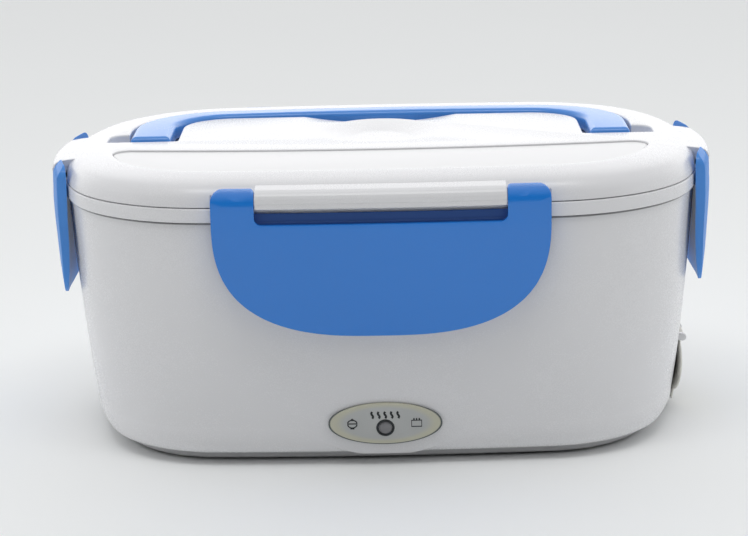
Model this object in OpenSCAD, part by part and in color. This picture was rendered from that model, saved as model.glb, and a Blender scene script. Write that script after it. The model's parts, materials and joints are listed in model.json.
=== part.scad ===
// Plug-in electric lunch box: a heated base that holds a lift-out food container, closed by a
// lift-off lid with four swing clips, a folding carry handle and a cutlery compartment.
// Millimetres. The origin is at the middle of the footprint on the table, +X right, +Y back, +Z up.

/* [Outline] */
// Width of the box across the rim band
body_w = 226; // [216:1:236]
// Depth of the box across the rim band
body_d = 158; // [150:1:166]
// Radius of the long front and back sides, seen from above
front_r = 1000; // [700:50:2000]
// Radius of the short left and right sides, seen from above
side_r = 125; // [120:1:150]
// Radius of the four corners, seen from above
corner_r = 54; // [50:1:58]

/* [Heights] */
// Height of the outer shell's rim above the table
rim_z = 87; // [80:1:96]
// Height of the band between the two seams
band_h = 4.8; // [4.6:0.1:6.4]
// Height from the upper seam to the flat top of the lid
lid_h = 9.6; // [9.2:0.1:11]
// Height of the outer shell's bottom edge
shell_z = 4.2; // [3.8:0.1:5]
// Height of the crease where the wall turns under
crease_z = 14.5; // [13.5:0.5:18]
// Height of the inside floor of the liner tub
floor_z = 34; // [33:0.5:38]
// Gap between the bottom cover and the table
foot_gap = 1; // [0.6:0.1:1.4]

/* [Walls] */
// Wall of the outer shell
shell_wall = 2.2; // [1.8:0.1:2.8]
// Wall of the liner tub
liner_wall = 1.8; // [1.4:0.1:2.2]
// Thickness of the lid's top
lid_wall = 2.2; // [1.6:0.1:2.6]
// Wall of the food container
pot_wall = 1.4; // [1:0.1:2]
// Lean of the outer wall, in mm for each mm of height
draft = 0.078; // [0.05:0.002:0.09]
// Extra tuck of the outer wall just above the crease
tuck = 1.4; // [0.8:0.1:1.8]
// Width of the rounded turn under the crease
turn_w = 4.7; // [4:0.1:6]
// Step from the band in to the outer wall
band_step = 1.2; // [1:0.1:1.6]

/* [Clips] */
// Half width of the front and rear clips
clip_hw = 56; // [50:1:62]
// Half width of the left and right clips
side_clip_hw = 35; // [30:1:38]
// Height of a clip
clip_h = 50.6; // [46:0.1:55]
// Width of a clip's upright horn beside the ledge
horn_w = 14.3; // [12:0.1:16]
// How far a clip stands out from the rim band
clip_out = 4.1; // [3.9:0.1:4.6]
// Radius of a clip's pivot stub
stub_r = 1.4; // [1.2:0.1:1.5]
// Length of a clip's pivot stub
stub_l = 4; // [3:0.5:6]

/* [Handle] */
// Half width of the handle over its legs
handle_hw = 89.6; // [86:0.1:90]
// Distance from the handle's pivot to the back of its bar
handle_reach = 51.8; // [50:0.1:54]
// Width of the handle strap at its foot
strap_w = 14.4; // [13:0.1:16]
// Thickness of the handle strap
strap_t = 5.7; // [5:0.1:6.2]
// Radius of the handle's outer corners
handle_r = 34; // [28:1:38]
// Radius of the handle's pivot pins
handle_pin_r = 1.6; // [1.4:0.1:1.8]

/* [Cutlery compartment] */
// Distance from the lid's rim in to the compartment
tray_in = 16.6; // [16.4:0.1:19]
// Distance from the middle of the lid to the compartment's straight edge
tray_y = 26; // [24:1:30]
// Depth of the compartment below the top of the lid
tray_depth = 6.6; // [6:0.1:6.6]
// Thickness of the compartment's cover
cover_t = 1.6; // [1.2:0.1:2]

/* [Heater] */
// Length of the heating plate's flange
plate_l = 144; // [136:1:150]
// Width of the heating plate's flange
plate_w = 78; // [74:1:90]
// Thickness of the heating plate's flange
plate_t = 1.4; // [1:0.1:2]
// Length of the heater block
heater_l = 64; // [54:1:70]
// Width of the heater block
heater_w = 44; // [36:1:46]
// Height of the heater block
heater_h = 4.8; // [4:0.1:5.4]

/* [Side dish tray] */
// Distance from the middle of the box to the tray's straight side
dish_x = 14; // [6:1:30]
// Depth of the side dish tray
dish_h = 30; // [24:1:38]

/* [Badge and inlet] */
// Half width of the oval badge
badge_hw = 19.3; // [17:0.1:21]
// Half height of the oval badge
badge_hh = 7.7; // [7:0.1:8.6]
// Radius of the indicator lens
lens_r = 2.6; // [2:0.1:3.2]
// Width of the power inlet's socket
socket_w = 15.6; // [14.6:0.1:17]
// Height of the power inlet's socket
socket_h = 9.2; // [8.6:0.1:10]
// Distance between the two inlet pins
pin_pitch = 6.6; // [6.6:0.1:7]
// Radius of an inlet pin
pin_r = 1.2; // [1:0.05:1.25]

/* [Hidden] */

white = [0.93, 0.93, 0.94];
blue = [0.13, 0.45, 0.84];

// Clearances: between faces that only pass each other, between seated pieces, and round a pin.
gap = 0.3;
seat = 0.2;
pin_fit = 0.05;
round_fn = 48;

// ---- Plan outline: long arcs, short arcs and corner arcs that meet smoothly ----
half_w = body_w / 2;
half_d = body_d / 2;
side_c = half_w - side_r;
front_c = half_d - front_r;
centre_gap = norm([side_c, front_c]);
along = (pow(side_r - corner_r, 2) - pow(front_r - corner_r, 2) + centre_gap * centre_gap)
    / (2 * centre_gap);
across = sqrt(pow(side_r - corner_r, 2) - along * along);
toward = [-side_c, front_c] / centre_gap;
corner_c = [side_c, 0] + along * toward + across * [-toward[1], toward[0]];
side_turn = atan2(corner_c[1], corner_c[0] - side_c);
front_turn = atan2(corner_c[1] - front_c, corner_c[0]);
side_steps = 3;
corner_steps = 8;
front_steps = 2;

function arc(c, r, a0, a1, n) = [for (i = [0:n - 1])
    c + r * [cos(a0 + (a1 - a0) * i / n), sin(a0 + (a1 - a0) * i / n)]];

// A quarter of the outline, drawn in by d, from +X round to +Y.
function quarter(d) = concat(
    arc([side_c, 0], side_r - d, 0, side_turn, side_steps),
    arc(corner_c, corner_r - d, side_turn, front_turn, corner_steps),
    arc([0, front_c], front_r - d, front_turn, 90, front_steps),
    [[0, half_d - d]]);

function reversed(v) = [for (i = [len(v) - 1:-1:0]) v[i]];
function without_last(v) = [for (i = [0:len(v) - 2]) v[i]];
function flipped(v, sx, sy) = [for (p = v) [p[0] * sx, p[1] * sy]];

// The whole outline, drawn in by d.
function outline(d) = concat(
    without_last(quarter(d)),
    without_last(reversed(flipped(quarter(d), -1, 1))),
    without_last(flipped(quarter(d), -1, -1)),
    without_last(reversed(flipped(quarter(d), 1, -1))));

function ring(zd) = [for (p = outline(zd[1])) [p[0], p[1], zd[0]]];

// A solid through a list of [height, inset] rings, closed by a flat cap at each end.
module loft(rings) {
    n = len(outline(0));
    last = len(rings) - 1;
    points = [for (r = rings) each ring(r)];
    sides = [for (j = [0:last - 1], i = [0:n - 1], k = [0, 1])
        let (a = j * n + i, b = j * n + (i + 1) % n)
        k == 0 ? [a, a + n, b + n] : [a, b + n, b]];
    caps = [[for (i = [0:n - 1]) i], [for (i = [n - 1:-1:0]) last * n + i]];
    polyhedron(points = points, faces = concat(sides, caps));
}

// A ring-shaped solid through a list of [height, inset] rings, the last joined to the first.
module loop_loft(rings) {
    n = len(outline(0));
    m = len(rings);
    points = [for (r = rings) each ring(r)];
    sides = [for (j = [0:m - 1], i = [0:n - 1], k = [0, 1])
        let (a = j * n + i, b = j * n + (i + 1) % n, c = ((j + 1) % m) * n + i,
             d = ((j + 1) % m) * n + (i + 1) % n)
        k == 0 ? [a, c, d] : [a, d, b]];
    polyhedron(points = points, faces = sides);
}

// A closed outline of a rounded rectangle, centred on the origin.
function rounded(w, d, r, n = 6) = [for (q = [0:3], i = [0:n])
    let (a = 90 * q + 90 * i / n, sx = (q == 0 || q == 3) ? 1 : -1, sy = q < 2 ? 1 : -1)
    [sx * (w / 2 - r) + r * cos(a), sy * (d / 2 - r) + r * sin(a)]];

function oval(hw, hh, n = 40) = [for (i = [0:n - 1]) [hw * cos(360 * i / n), hh * sin(360 * i / n)]];

// ---- Heights that follow from the sizes above ----
band_z = rim_z + 0.3;
seam_z = band_z + band_h;
lid_z = seam_z + gap;
top_z = seam_z + lid_h;
handle_z = top_z + 1;

// Inset of the outer wall at a height.
wall_rise = rim_z - crease_z;
function wall_in(z) = band_step + draft * (rim_z - z) + tuck * pow((rim_z - z) / wall_rise, 4);
crease_in = wall_in(crease_z);
shell_in = crease_in + turn_w;
skirt_in = shell_in + 2;
lip_in = skirt_in + 7;
wall_lean = atan(draft + 4 * tuck / wall_rise);

// ---- A frame on one side: local +X points outwards, the arc's centre is the origin ----
function side_radius(side) = (side == "front" || side == "rear") ? front_r : side_r;
module on_side(side) {
    turn = side == "front" ? -90 : side == "rear" ? 90 : side == "left" ? 180 : 0;
    long = side == "front" || side == "rear";
    rotate(turn) translate([long ? front_c : side_c, 0]) children();
}

// A frame on the sloping wall: local +X is square to the wall, outwards.
patch_z = 15.6;
patch_in = crease_in + (crease_z - patch_z) * tan(wall_lean);
module on_patch(side) {
    on_side(side) translate([side_radius(side) - patch_in, 0, patch_z])
        rotate([0, wall_lean, 0]) children();
}

// A prism of a flat outline in local Y and Z, from x0 to x1.
module outward(x0, x1) {
    translate([x0, 0, 0]) rotate([90, 0, 90]) linear_extrude(height = x1 - x0) children();
}

// ---- Outer shell ----
boss_r = 3.8;
boss_hole_r = 1.5;
boss_top = 16;
boss_at = corner_c + (corner_r - lip_in) * [cos(45), sin(45)];
patch_hw = badge_hw + 5;
patch_hh = badge_hh + 4.2;
patch_depth = 6;
patch_proud = 0.3;
lens_drop = 1.4;
nose_wall = 1.6;
nose_w = socket_w + 2 * nose_wall;
nose_h = socket_h + 2 * nose_wall;
turn_steps = 4;
tongue_in = 2.5;
tongue_t = 1.4;
tongue_h = 2.6;

module at_corners(p) {
    for (sx = [-1, 1], sy = [-1, 1]) translate([sx * p[0], sy * p[1], 0]) children();
}

// A long hole with round ends, in local Y and Z.
module slot_shape(w, h) {
    square([w - h, h], center = true);
    for (s = [-1, 1]) translate([s * (w - h) / 2, 0]) circle(d = h, $fn = round_fn);
}

module outer_shell() {
    lip_t = shell_wall;
    turned = [for (i = [turn_steps:-1:0]) let (a = 90 * i / turn_steps)
        [shell_z + (crease_z - shell_z) * (1 - sin(a)), crease_in + turn_w * (1 - cos(a))]];
    wall_zs = [for (k = [0.25, 0.55, 1]) crease_z + wall_rise * k];
    inner_low = shell_z + lip_t;
    color(white) difference() {
        union() {
            loop_loft(concat(
                turned,
                [for (z = wall_zs) [z, wall_in(z)]],
                [[rim_z, tongue_in], [rim_z + tongue_h, tongue_in],
                    [rim_z + tongue_h, tongue_in + tongue_t], [rim_z - 1, tongue_in + tongue_t]],
                [for (k = [0.55, 0.25, 0]) let (z = crease_z + wall_rise * k) [z, wall_in(z) + shell_wall]],
                [[inner_low, shell_in + 1], [inner_low, lip_in], [shell_z, lip_in]]));
            for (side = ["front", "right"]) on_patch(side)
                outward(-patch_depth, patch_proud) polygon(oval(patch_hw, patch_hh));
            on_patch("right") flap_ears();
            at_corners(boss_at) translate([0, 0, shell_z])
                cylinder(r = boss_r, h = boss_top - shell_z, $fn = round_fn);
        }
        at_corners(boss_at) translate([0, 0, shell_z - 1])
            cylinder(r = boss_hole_r, h = boss_top - shell_z - 1, $fn = round_fn);
        on_patch("front") outward(-patch_depth - 4, 1) translate([0, -lens_drop])
            circle(r = lens_r + pin_fit, $fn = round_fn);
        on_patch("right") outward(-patch_depth - 8, 1) slot_shape(nose_w + 2 * seat, nose_h + 2 * seat);
    }
}

// ---- Liner tub, whose flange is the band between the two seams ----
liner_top_in = 7.2;
liner_floor_in = 13.6;
flange_t = 2;
function liner_in(z) = liner_top_in + (liner_floor_in - liner_top_in) * (seam_z - z) / (seam_z - floor_z);
well_l = plate_l - 12;
well_w = plate_w - 12;
well_r = 10;

module liner_tub() {
    floor_t = 2;
    skirt_t = 2.2;
    edge = 0.4;
    under = floor_z - floor_t;
    under_flange = seam_z - flange_t;
    color([0.9, 0.9, 0.91]) difference() {
        loft([
            [under, liner_floor_in + 1],
            [under + 2, liner_in(under + 2) - liner_wall],
            [under_flange, liner_in(under_flange) - liner_wall + 1],
            [under_flange, skirt_t],
            [band_z, skirt_t],
            [band_z, edge],
            [band_z + edge, 0],
            [seam_z - edge, 0],
            [seam_z, edge],
            [seam_z, liner_top_in],
            [floor_z + 2, liner_in(floor_z + 2)],
            [floor_z, liner_floor_in + 2]]);
        translate([0, 0, under - 1]) linear_extrude(height = floor_t + 2)
            polygon(rounded(well_l, well_w, well_r));
    }
}

// ---- Bottom cover, its screws and feet ----
cover_floor = foot_gap + 2;
cover_rim = shell_z - seat;
screw_head_r = 2.9;
screw_shank_r = 1.45;
pillar_r = 5.4;
foot_r = 6;
foot_sink = 0.6;
foot_at = [0.6 * half_w, half_d - skirt_in - 14];

module bottom_cover() {
    wall = 2;
    sink_top = foot_gap + 1.6;
    color(white) difference() {
        union() {
            loft([
                [foot_gap, skirt_in + 0.6],
                [foot_gap + 0.6, skirt_in],
                [cover_rim, skirt_in],
                [cover_rim, skirt_in + wall],
                [cover_floor, skirt_in + wall]]);
            at_corners(boss_at) translate([0, 0, cover_floor - 1])
                cylinder(r = pillar_r, h = cover_rim - cover_floor + 1, $fn = round_fn);
        }
        at_corners(boss_at) {
            translate([0, 0, foot_gap - 1])
                cylinder(r = screw_head_r + gap, h = sink_top - foot_gap + 1, $fn = round_fn);
            translate([0, 0, foot_gap]) cylinder(r = screw_shank_r + 0.25, h = shell_z, $fn = round_fn);
        }
        at_corners(foot_at) translate([0, 0, foot_gap - 1])
            cylinder(r = foot_r + seat, h = foot_sink + 1, $fn = round_fn);
    }
}

module bottom_screws() {
    head_z = foot_gap + 0.3;
    head_h = 1.3;
    color([0.75, 0.76, 0.78]) at_corners(boss_at) difference() {
        union() {
            translate([0, 0, head_z])
                cylinder(r = screw_head_r, h = head_h, $fn = round_fn);
            translate([0, 0, head_z]) cylinder(r = screw_shank_r, h = boss_top - 3 - head_z, $fn = round_fn);
        }
        for (a = [0, 90]) translate([0, 0, head_z]) rotate(a) cube([3.2, 0.8, 1.4], center = true);
    }
}

module rubber_feet() {
    color([0.72, 0.72, 0.7]) at_corners(foot_at)
        cylinder(r = foot_r, h = foot_gap + foot_sink - 0.05, $fn = round_fn);
}

// ---- Heating plate and what is clamped under it ----
plug_t = 2.4;
seal_t = 0.6;
plate_z = floor_z + seal_t;
plug_z = plate_z - plug_t - seal_t;
heater_z = plug_z - heater_h;
mica_t = 0.6;
clamp_t = 1.2;
clamp_z = heater_z - mica_t - clamp_t;
stud_r = 3.2;
stud_y = heater_w / 2 + 6;
well_gap = 1;

module at_studs() {
    for (s = [-1, 1]) translate([0, s * stud_y, 0]) children();
}

module heating_plate() {
    color([0.78, 0.79, 0.8]) difference() {
        union() {
            translate([0, 0, plate_z]) linear_extrude(height = plate_t)
                polygon(rounded(plate_l, plate_w, well_r + 6));
            translate([0, 0, plug_z]) linear_extrude(height = plate_z - plug_z)
                polygon(rounded(well_l - 2 * well_gap, well_w - 2 * well_gap, well_r - well_gap));
            at_studs() translate([0, 0, clamp_z + clamp_t])
                cylinder(r = stud_r, h = plug_z - clamp_z - clamp_t, $fn = round_fn);
        }
        at_studs() translate([0, 0, clamp_z])
            cylinder(r = boss_hole_r, h = plug_z - clamp_z, $fn = round_fn);
    }
}

module plate_seal() {
    color([0.85, 0.45, 0.3]) translate([0, 0, floor_z]) linear_extrude(height = seal_t) difference() {
        polygon(rounded(plate_l - 2, plate_w - 2, well_r + 5));
        polygon(rounded(well_l, well_w, well_r));
    }
}

module heater_element() {
    tab = 5;
    color([0.7, 0.68, 0.64]) union() {
        translate([-heater_l / 2, -heater_w / 2, heater_z]) cube([heater_l, heater_w, heater_h]);
        for (s = [-1, 1]) translate([-heater_l / 2 - tab, s * heater_w / 4 - 2,
            heater_z + heater_h / 2 - 0.4])
            cube([tab + 1, 4, 0.8]);
    }
}

module mica_sheet() {
    color([0.72, 0.6, 0.42]) translate([-heater_l / 2 + 2, -heater_w / 2 + 1, heater_z - mica_t])
        cube([heater_l - 4, heater_w - 2, mica_t]);
}

module heater_clamp() {
    strap_w = 26;
    leg_y = well_w / 2 + 3;
    toe = 8;
    toe_z = floor_z - 2 - clamp_t - seat;
    color([0.66, 0.67, 0.69]) difference() {
        union() {
            translate([-strap_w / 2, -leg_y - clamp_t, clamp_z])
                cube([strap_w, 2 * (leg_y + clamp_t), clamp_t]);
            for (s = [-1, 1]) {
                translate([-strap_w / 2, s > 0 ? leg_y : -leg_y - clamp_t, clamp_z])
                    cube([strap_w, clamp_t, toe_z + clamp_t - clamp_z]);
                translate([-strap_w / 2, s > 0 ? leg_y : -leg_y - toe, toe_z])
                    cube([strap_w, toe, clamp_t]);
            }
        }
        at_studs() translate([0, 0, clamp_z - 1])
            cylinder(r = screw_shank_r + 0.2, h = clamp_t + 2, $fn = round_fn);
    }
}

module clamp_screws() {
    head_h = 1.6;
    color([0.75, 0.76, 0.78]) at_studs() difference() {
        union() {
            translate([0, 0, clamp_z - head_h]) cylinder(r = screw_head_r, h = head_h, $fn = round_fn);
            translate([0, 0, clamp_z - head_h])
                cylinder(r = screw_shank_r, h = head_h + clamp_t + 3.6, $fn = round_fn);
        }
        for (a = [0, 90]) translate([0, 0, clamp_z - head_h])
            rotate(a) cube([3.2, 0.8, 1.4], center = true);
    }
}

thermostat_at = [heater_l / 2 + 18, 0];
thermostat_r = 8;
thermostat_h = 9;
terminal_y = 4;
fuse_at = [-heater_l / 2 - 18, 0];
fuse_r = 2;
fuse_l = 14;
fuse_z = plug_z - fuse_r - seat;

module thermostat() {
    cap_h = 3;
    color([0.3, 0.3, 0.32]) translate([thermostat_at[0], thermostat_at[1], plug_z - thermostat_h]) union() {
        cylinder(r = thermostat_r - 0.8, h = thermostat_h - cap_h + 1, $fn = round_fn);
        translate([0, 0, thermostat_h - cap_h]) cylinder(r = thermostat_r, h = cap_h, $fn = round_fn);
        for (s = [-1, 1]) translate([-0.4, s * terminal_y - 1.5, -4]) cube([0.8, 3, 5]);
    }
}

module thermal_fuse() {
    color([0.92, 0.9, 0.82]) translate([fuse_at[0], fuse_at[1], fuse_z]) rotate([90, 0, 0])
        cylinder(r = fuse_r, h = fuse_l, center = true, $fn = round_fn);
}

// ---- Wires, swept along points chosen by hand ----
wire_r = 0.9;
wire_sides = 8;
wire_lift = [0.31, 0.17, 1];

function unit(v) = v / norm(v);
function lean_at(p, i) = unit(p[min(i + 1, len(p) - 1)] - p[max(i - 1, 0)]);

module wire(p, r = wire_r) {
    n = wire_sides;
    points = [for (i = [0:len(p) - 1])
        let (t = lean_at(p, i), u = unit(cross(t, wire_lift)), v = cross(t, u))
        for (k = [0:n - 1]) p[i] + r * (cos(360 * k / n) * u + sin(360 * k / n) * v)];
    sides = [for (j = [0:len(p) - 2], i = [0:n - 1], k = [0, 1])
        let (a = j * n + i, b = j * n + (i + 1) % n)
        k == 0 ? [a, a + n, b + n] : [a, b + n, b]];
    polyhedron(points = points, faces = concat(sides,
        [[for (i = [0:n - 1]) i], [for (i = [n - 1:-1:0]) (len(p) - 1) * n + i]]));
}

pin_back = 24;
pin_tail = [half_w - patch_in - pin_back * cos(wall_lean), patch_z + pin_back * sin(wall_lean)];
tail_x = pin_tail[0] - 0.4;
tail_z = pin_tail[1] + 0.2;
tail = [tail_x, 0, tail_z];
low_terminal = plug_z - thermostat_h - 4.6;
// The routes below are drawn for a body 226 wide
route = body_w / 226;

module live_wire() {
    t = thermostat_at;
    color([0.55, 0.3, 0.15]) wire([
        [tail_x, pin_pitch / 2, tail_z], tail + route * [-4, 4, 0], tail + route * [-7, 5, -1],
        route * [70, 9, 16], route * [64, 11, 13], route * [57, 10, 11], route * [52, 7, 11],
        [t[0], 4.6 * route, 13 * route], [t[0], terminal_y, low_terminal - 1.4 * route],
        [t[0], terminal_y, low_terminal]]);
}

module neutral_wire() {
    end = [-heater_l / 2 - 6.2, -heater_w / 4, heater_z + heater_h / 2];
    color([0.2, 0.35, 0.7]) wire([
        [tail_x, -pin_pitch / 2, tail_z], tail + route * [-4, -4, 0], tail + route * [-8, -8, -2],
        route * [68, -18, 14], route * [56, -24, 10], route * [36, -27, 8], route * [10, -28, 8],
        route * [-16, -27, 8], route * [-34, -22, 12], end + route * [-4, -6, -9.2],
        end + route * [-3, -2, -1.4], end]);
}

module link_wire() {
    t = thermostat_at;
    f = [fuse_at[0], fuse_l / 2, fuse_z];
    color([0.9, 0.88, 0.84]) wire([
        [t[0], -terminal_y, low_terminal], [t[0], -terminal_y, low_terminal - 1.4 * route],
        [t[0] - 2 * route, -3 * route, 13 * route], route * [42, 4, 9], route * [30, 16, 8],
        route * [10, 26, 8], route * [-16, 26, 9], route * [-38, 18, 14], f + route * [-1, 6, -7.4],
        f + route * [0, 4, -1], f + route * [0, 1.6, 0], f + route * [0, 0.2, 0]]);
}

module fuse_wire() {
    f = [fuse_at[0], -fuse_l / 2, fuse_z];
    end = [-heater_l / 2 - 6.2, heater_w / 4, heater_z + heater_h / 2];
    color([0.9, 0.88, 0.84]) wire([
        f + route * [0, -0.2, 0], f + route * [0, -2, 0], f + route * [1, -2.6, -3],
        f + route * [3, 1, -5.6], f + route * [5, 9, -6], f + route * [6.5, 15, -4],
        end + route * [-2, 0, -0.6], end]);
}

// ---- Badge, lens and lamp on the front ----
badge_t = 0.8;
lens_tail = 7;
board_x = -patch_depth - 4;

module badge_plate() {
    color([0.72, 0.73, 0.71]) on_patch("front") difference() {
        outward(patch_proud, patch_proud + badge_t) polygon(oval(badge_hw, badge_hh));
        outward(0, 2) translate([0, -lens_drop]) circle(r = lens_r + pin_fit, $fn = round_fn);
    }
}

module indicator_lens() {
    dome = 0.5;
    color([0.35, 0.36, 0.38]) on_patch("front") translate([0, 0, -lens_drop]) union() {
        rotate([0, 90, 0]) translate([0, 0, -lens_tail])
            cylinder(r = lens_r, h = lens_tail + patch_proud + badge_t + dome, $fn = round_fn);
        rotate([0, 90, 0]) translate([0, 0, -lens_tail - 1])
            cylinder(r = lens_r + 0.9, h = 1, $fn = round_fn);
    }
}

module lamp_board() {
    w = 16;
    h = 10;
    color([0.3, 0.5, 0.32]) on_patch("front") translate([board_x, 0, -lens_drop]) union() {
        translate([-1.6, -w / 2, -h / 2]) cube([1.6, w, h]);
        rotate([0, 90, 0]) cylinder(r = 1.5, h = -board_x - lens_tail - 1 - seat, $fn = round_fn);
        for (s = [-1, 1]) translate([-2.8, s * 5 - 1, -2.5]) cube([1.6, 2, 5]);
    }
}

module lamp_wires() {
    y0 = [0, 12.8 - (half_d - patch_in), 0];
    color([0.8, 0.2, 0.18]) for (s = [-1, 1]) wire([
        y0 + [s * 5, 0.2, 16], y0 + [s * 5, 3, 16], y0 + route * [s * 5.4, 7, 14.5],
        y0 + route * [s * 5.8 - 4, 12, 10], route * [s * 6 - 14, -42, 7],
        route * [s * 5 - 26, -34, 8], route * [s * 4 - 34, -28, 12 + 2 * s],
        route * [s * 3 - 37, -25, 16 + 2 * s]], 0.7);
}

// ---- Power inlet on the right side ----
socket_depth = 14;
housing_w = 26;
housing_h = 18;
housing_back = 21;
housing_front = patch_depth + 0.4;
pin_reach = 2.4;

module power_inlet() {
    color([0.12, 0.12, 0.13]) on_patch("right") difference() {
        union() {
            outward(-housing_back, -housing_front) square([housing_w, housing_h], center = true);
            outward(-housing_front - 1, 0) slot_shape(nose_w, nose_h);
        }
        outward(-socket_depth, 1) slot_shape(socket_w, socket_h);
        for (s = [-1, 1]) translate([0, s * pin_pitch / 2, 0])
            rotate([0, 90, 0]) translate([0, 0, -housing_back - 1])
            cylinder(r = pin_r + pin_fit, h = housing_back, $fn = round_fn);
    }
}

module inlet_pins() {
    color([0.78, 0.66, 0.35]) on_patch("right") for (s = [-1, 1])
        translate([0, s * pin_pitch / 2, 0]) rotate([0, 90, 0])
        translate([0, 0, -pin_back]) cylinder(r = pin_r, h = pin_back - pin_reach, $fn = round_fn);
}

flap_t = 1.6;
flap_hw = patch_hw - 4;
flap_hh = patch_hh - 2.4;
flap_x = patch_proud + gap;
flap_axis = [flap_x + flap_t / 2, patch_hh - 0.6];
flap_pin_r = 1;
ear_y = 6;
ear_w = 2.4;
ear_r = 1.9;

// The soft cover swings up on a barrel held between two ears on the shell.
module flap_ears() {
    for (s = [-1, 1]) translate([0, s * (ear_y + ear_w / 2), 0]) difference() {
        translate([flap_axis[0], 0, flap_axis[1]]) rotate([90, 0, 0])
            linear_extrude(height = ear_w, center = true) union() {
            circle(r = ear_r, $fn = round_fn);
            translate([-flap_axis[0] - 1, -ear_r]) square([flap_axis[0] + 1, 2 * ear_r]);
        }
        translate([flap_axis[0], 0, flap_axis[1]]) rotate([90, 0, 0])
            cylinder(r = flap_pin_r + pin_fit, h = ear_w + 1, center = true, $fn = round_fn);
    }
}

module inlet_cover() {
    tab_hw = 9;
    tab_low = flap_hh + 2.6;
    plug_l = 1.2;
    barrel = ear_y - gap;
    color([0.9, 0.88, 0.78]) on_patch("right") union() {
        outward(flap_x, flap_x + flap_t) union() {
            polygon(oval(flap_hw, flap_hh));
            translate([-tab_hw, -tab_low]) square([2 * tab_hw, tab_low]);
            translate([-barrel, 0]) square([2 * barrel, flap_axis[1]]);
        }
        outward(-plug_l, flap_x + 0.5) slot_shape(socket_w - 0.8, socket_h - 0.8);
        translate([flap_axis[0], 0, flap_axis[1]]) rotate([90, 0, 0]) union() {
            cylinder(r = flap_t / 2 + 0.3, h = 2 * barrel, center = true, $fn = round_fn);
            cylinder(r = flap_pin_r, h = 2 * (ear_y + ear_w - 0.4), center = true, $fn = round_fn);
        }
    }
}

// ---- Ledges and clips, both bent to the side they belong to ----
ledge_top = 6.9;
ledge_out = 4;
axis_out = 1.7;
axis_z = lid_z + 3.1;
horn_r = 3.7;
lid_back = 1;
function clip_width(side) = (side == "front" || side == "rear") ? clip_hw : side_clip_hw;
function notch_width(side) = clip_width(side) - horn_w;
function axis_x(side) = sqrt(pow(side_radius(side), 2) - pow(notch_width(side) - stub_l / 2, 2)) + axis_out;

// A profile of [offset from the rim, height], bent round the side over a width.
module bent(side, hw, profile) {
    r = side_radius(side);
    a = asin((hw + 2) / r);
    rotate([0, 0, -a]) rotate_extrude(angle = 2 * a, $fn = 180)
        polygon([for (p = profile) [r + p[0], p[1]]]);
}

module ledge(side) {
    r = side_radius(side);
    hw = notch_width(side) - gap;
    b = lid_z;
    intersection() {
        bent(side, hw, [[-lid_back, b], [ledge_out - 0.5, b], [ledge_out, b + 0.5], [ledge_out, b + 3.4],
            [ledge_out - 0.5, b + 4.6], [ledge_out - 1.5, b + 5.5], [ledge_out - 3, b + 6.1], [-1, b + 6.4],
            [-lid_back - 4, b + ledge_top], [-lid_back - 3, b + 5.4], [-lid_back, b + 4]]);
        translate([r - 60, -hw, 0]) cube([80, 2 * hw, 150]);
    }
}

module ledge_holes(side) {
    hw = notch_width(side);
    x = axis_x(side);
    for (s = [-1, 1]) {
        translate([x, s * (hw - stub_l / 2), axis_z]) rotate([90, 0, 0])
            cylinder(r = stub_r + pin_fit, h = stub_l + 1, center = true, $fn = round_fn);
        translate([x, s * (hw - gap + horn_w / 2 + 0.3), axis_z]) rotate([90, 0, 0])
            cylinder(r = horn_r + gap, h = horn_w + 0.6, center = true, $fn = round_fn);
    }
}

// Half of a clip's outline in Y and Z: a deep rounded tongue with a horn each side of a notch.
function tongue(hw, z0, h, n = 14) = [for (i = [0:n])
    let (a = 90 * i / n) [hw * pow(sin(a), 2 / 2.75), z0 - h * pow(cos(a), 2 / 2.75)]];

function clip_half(hw, nw) = concat(
    tongue(hw, axis_z - 6.4, clip_h + axis_z - 6.4 - clip_top),
    [[hw, clip_top - 4], [hw - 1.2, clip_top - 1.2], [hw - 4, clip_top]],
    [[nw + 1.5, clip_top], [nw + 0.4, clip_top - 0.5], [nw, clip_top - 1.6]],
    [[nw, notch_z + 2], [nw - 0.6, notch_z + 0.6], [nw - 2, notch_z]]);

clip_top = axis_z + horn_r - 0.1;
notch_z = band_z - 0.2;
clip_foot = clip_top - clip_h;

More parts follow.
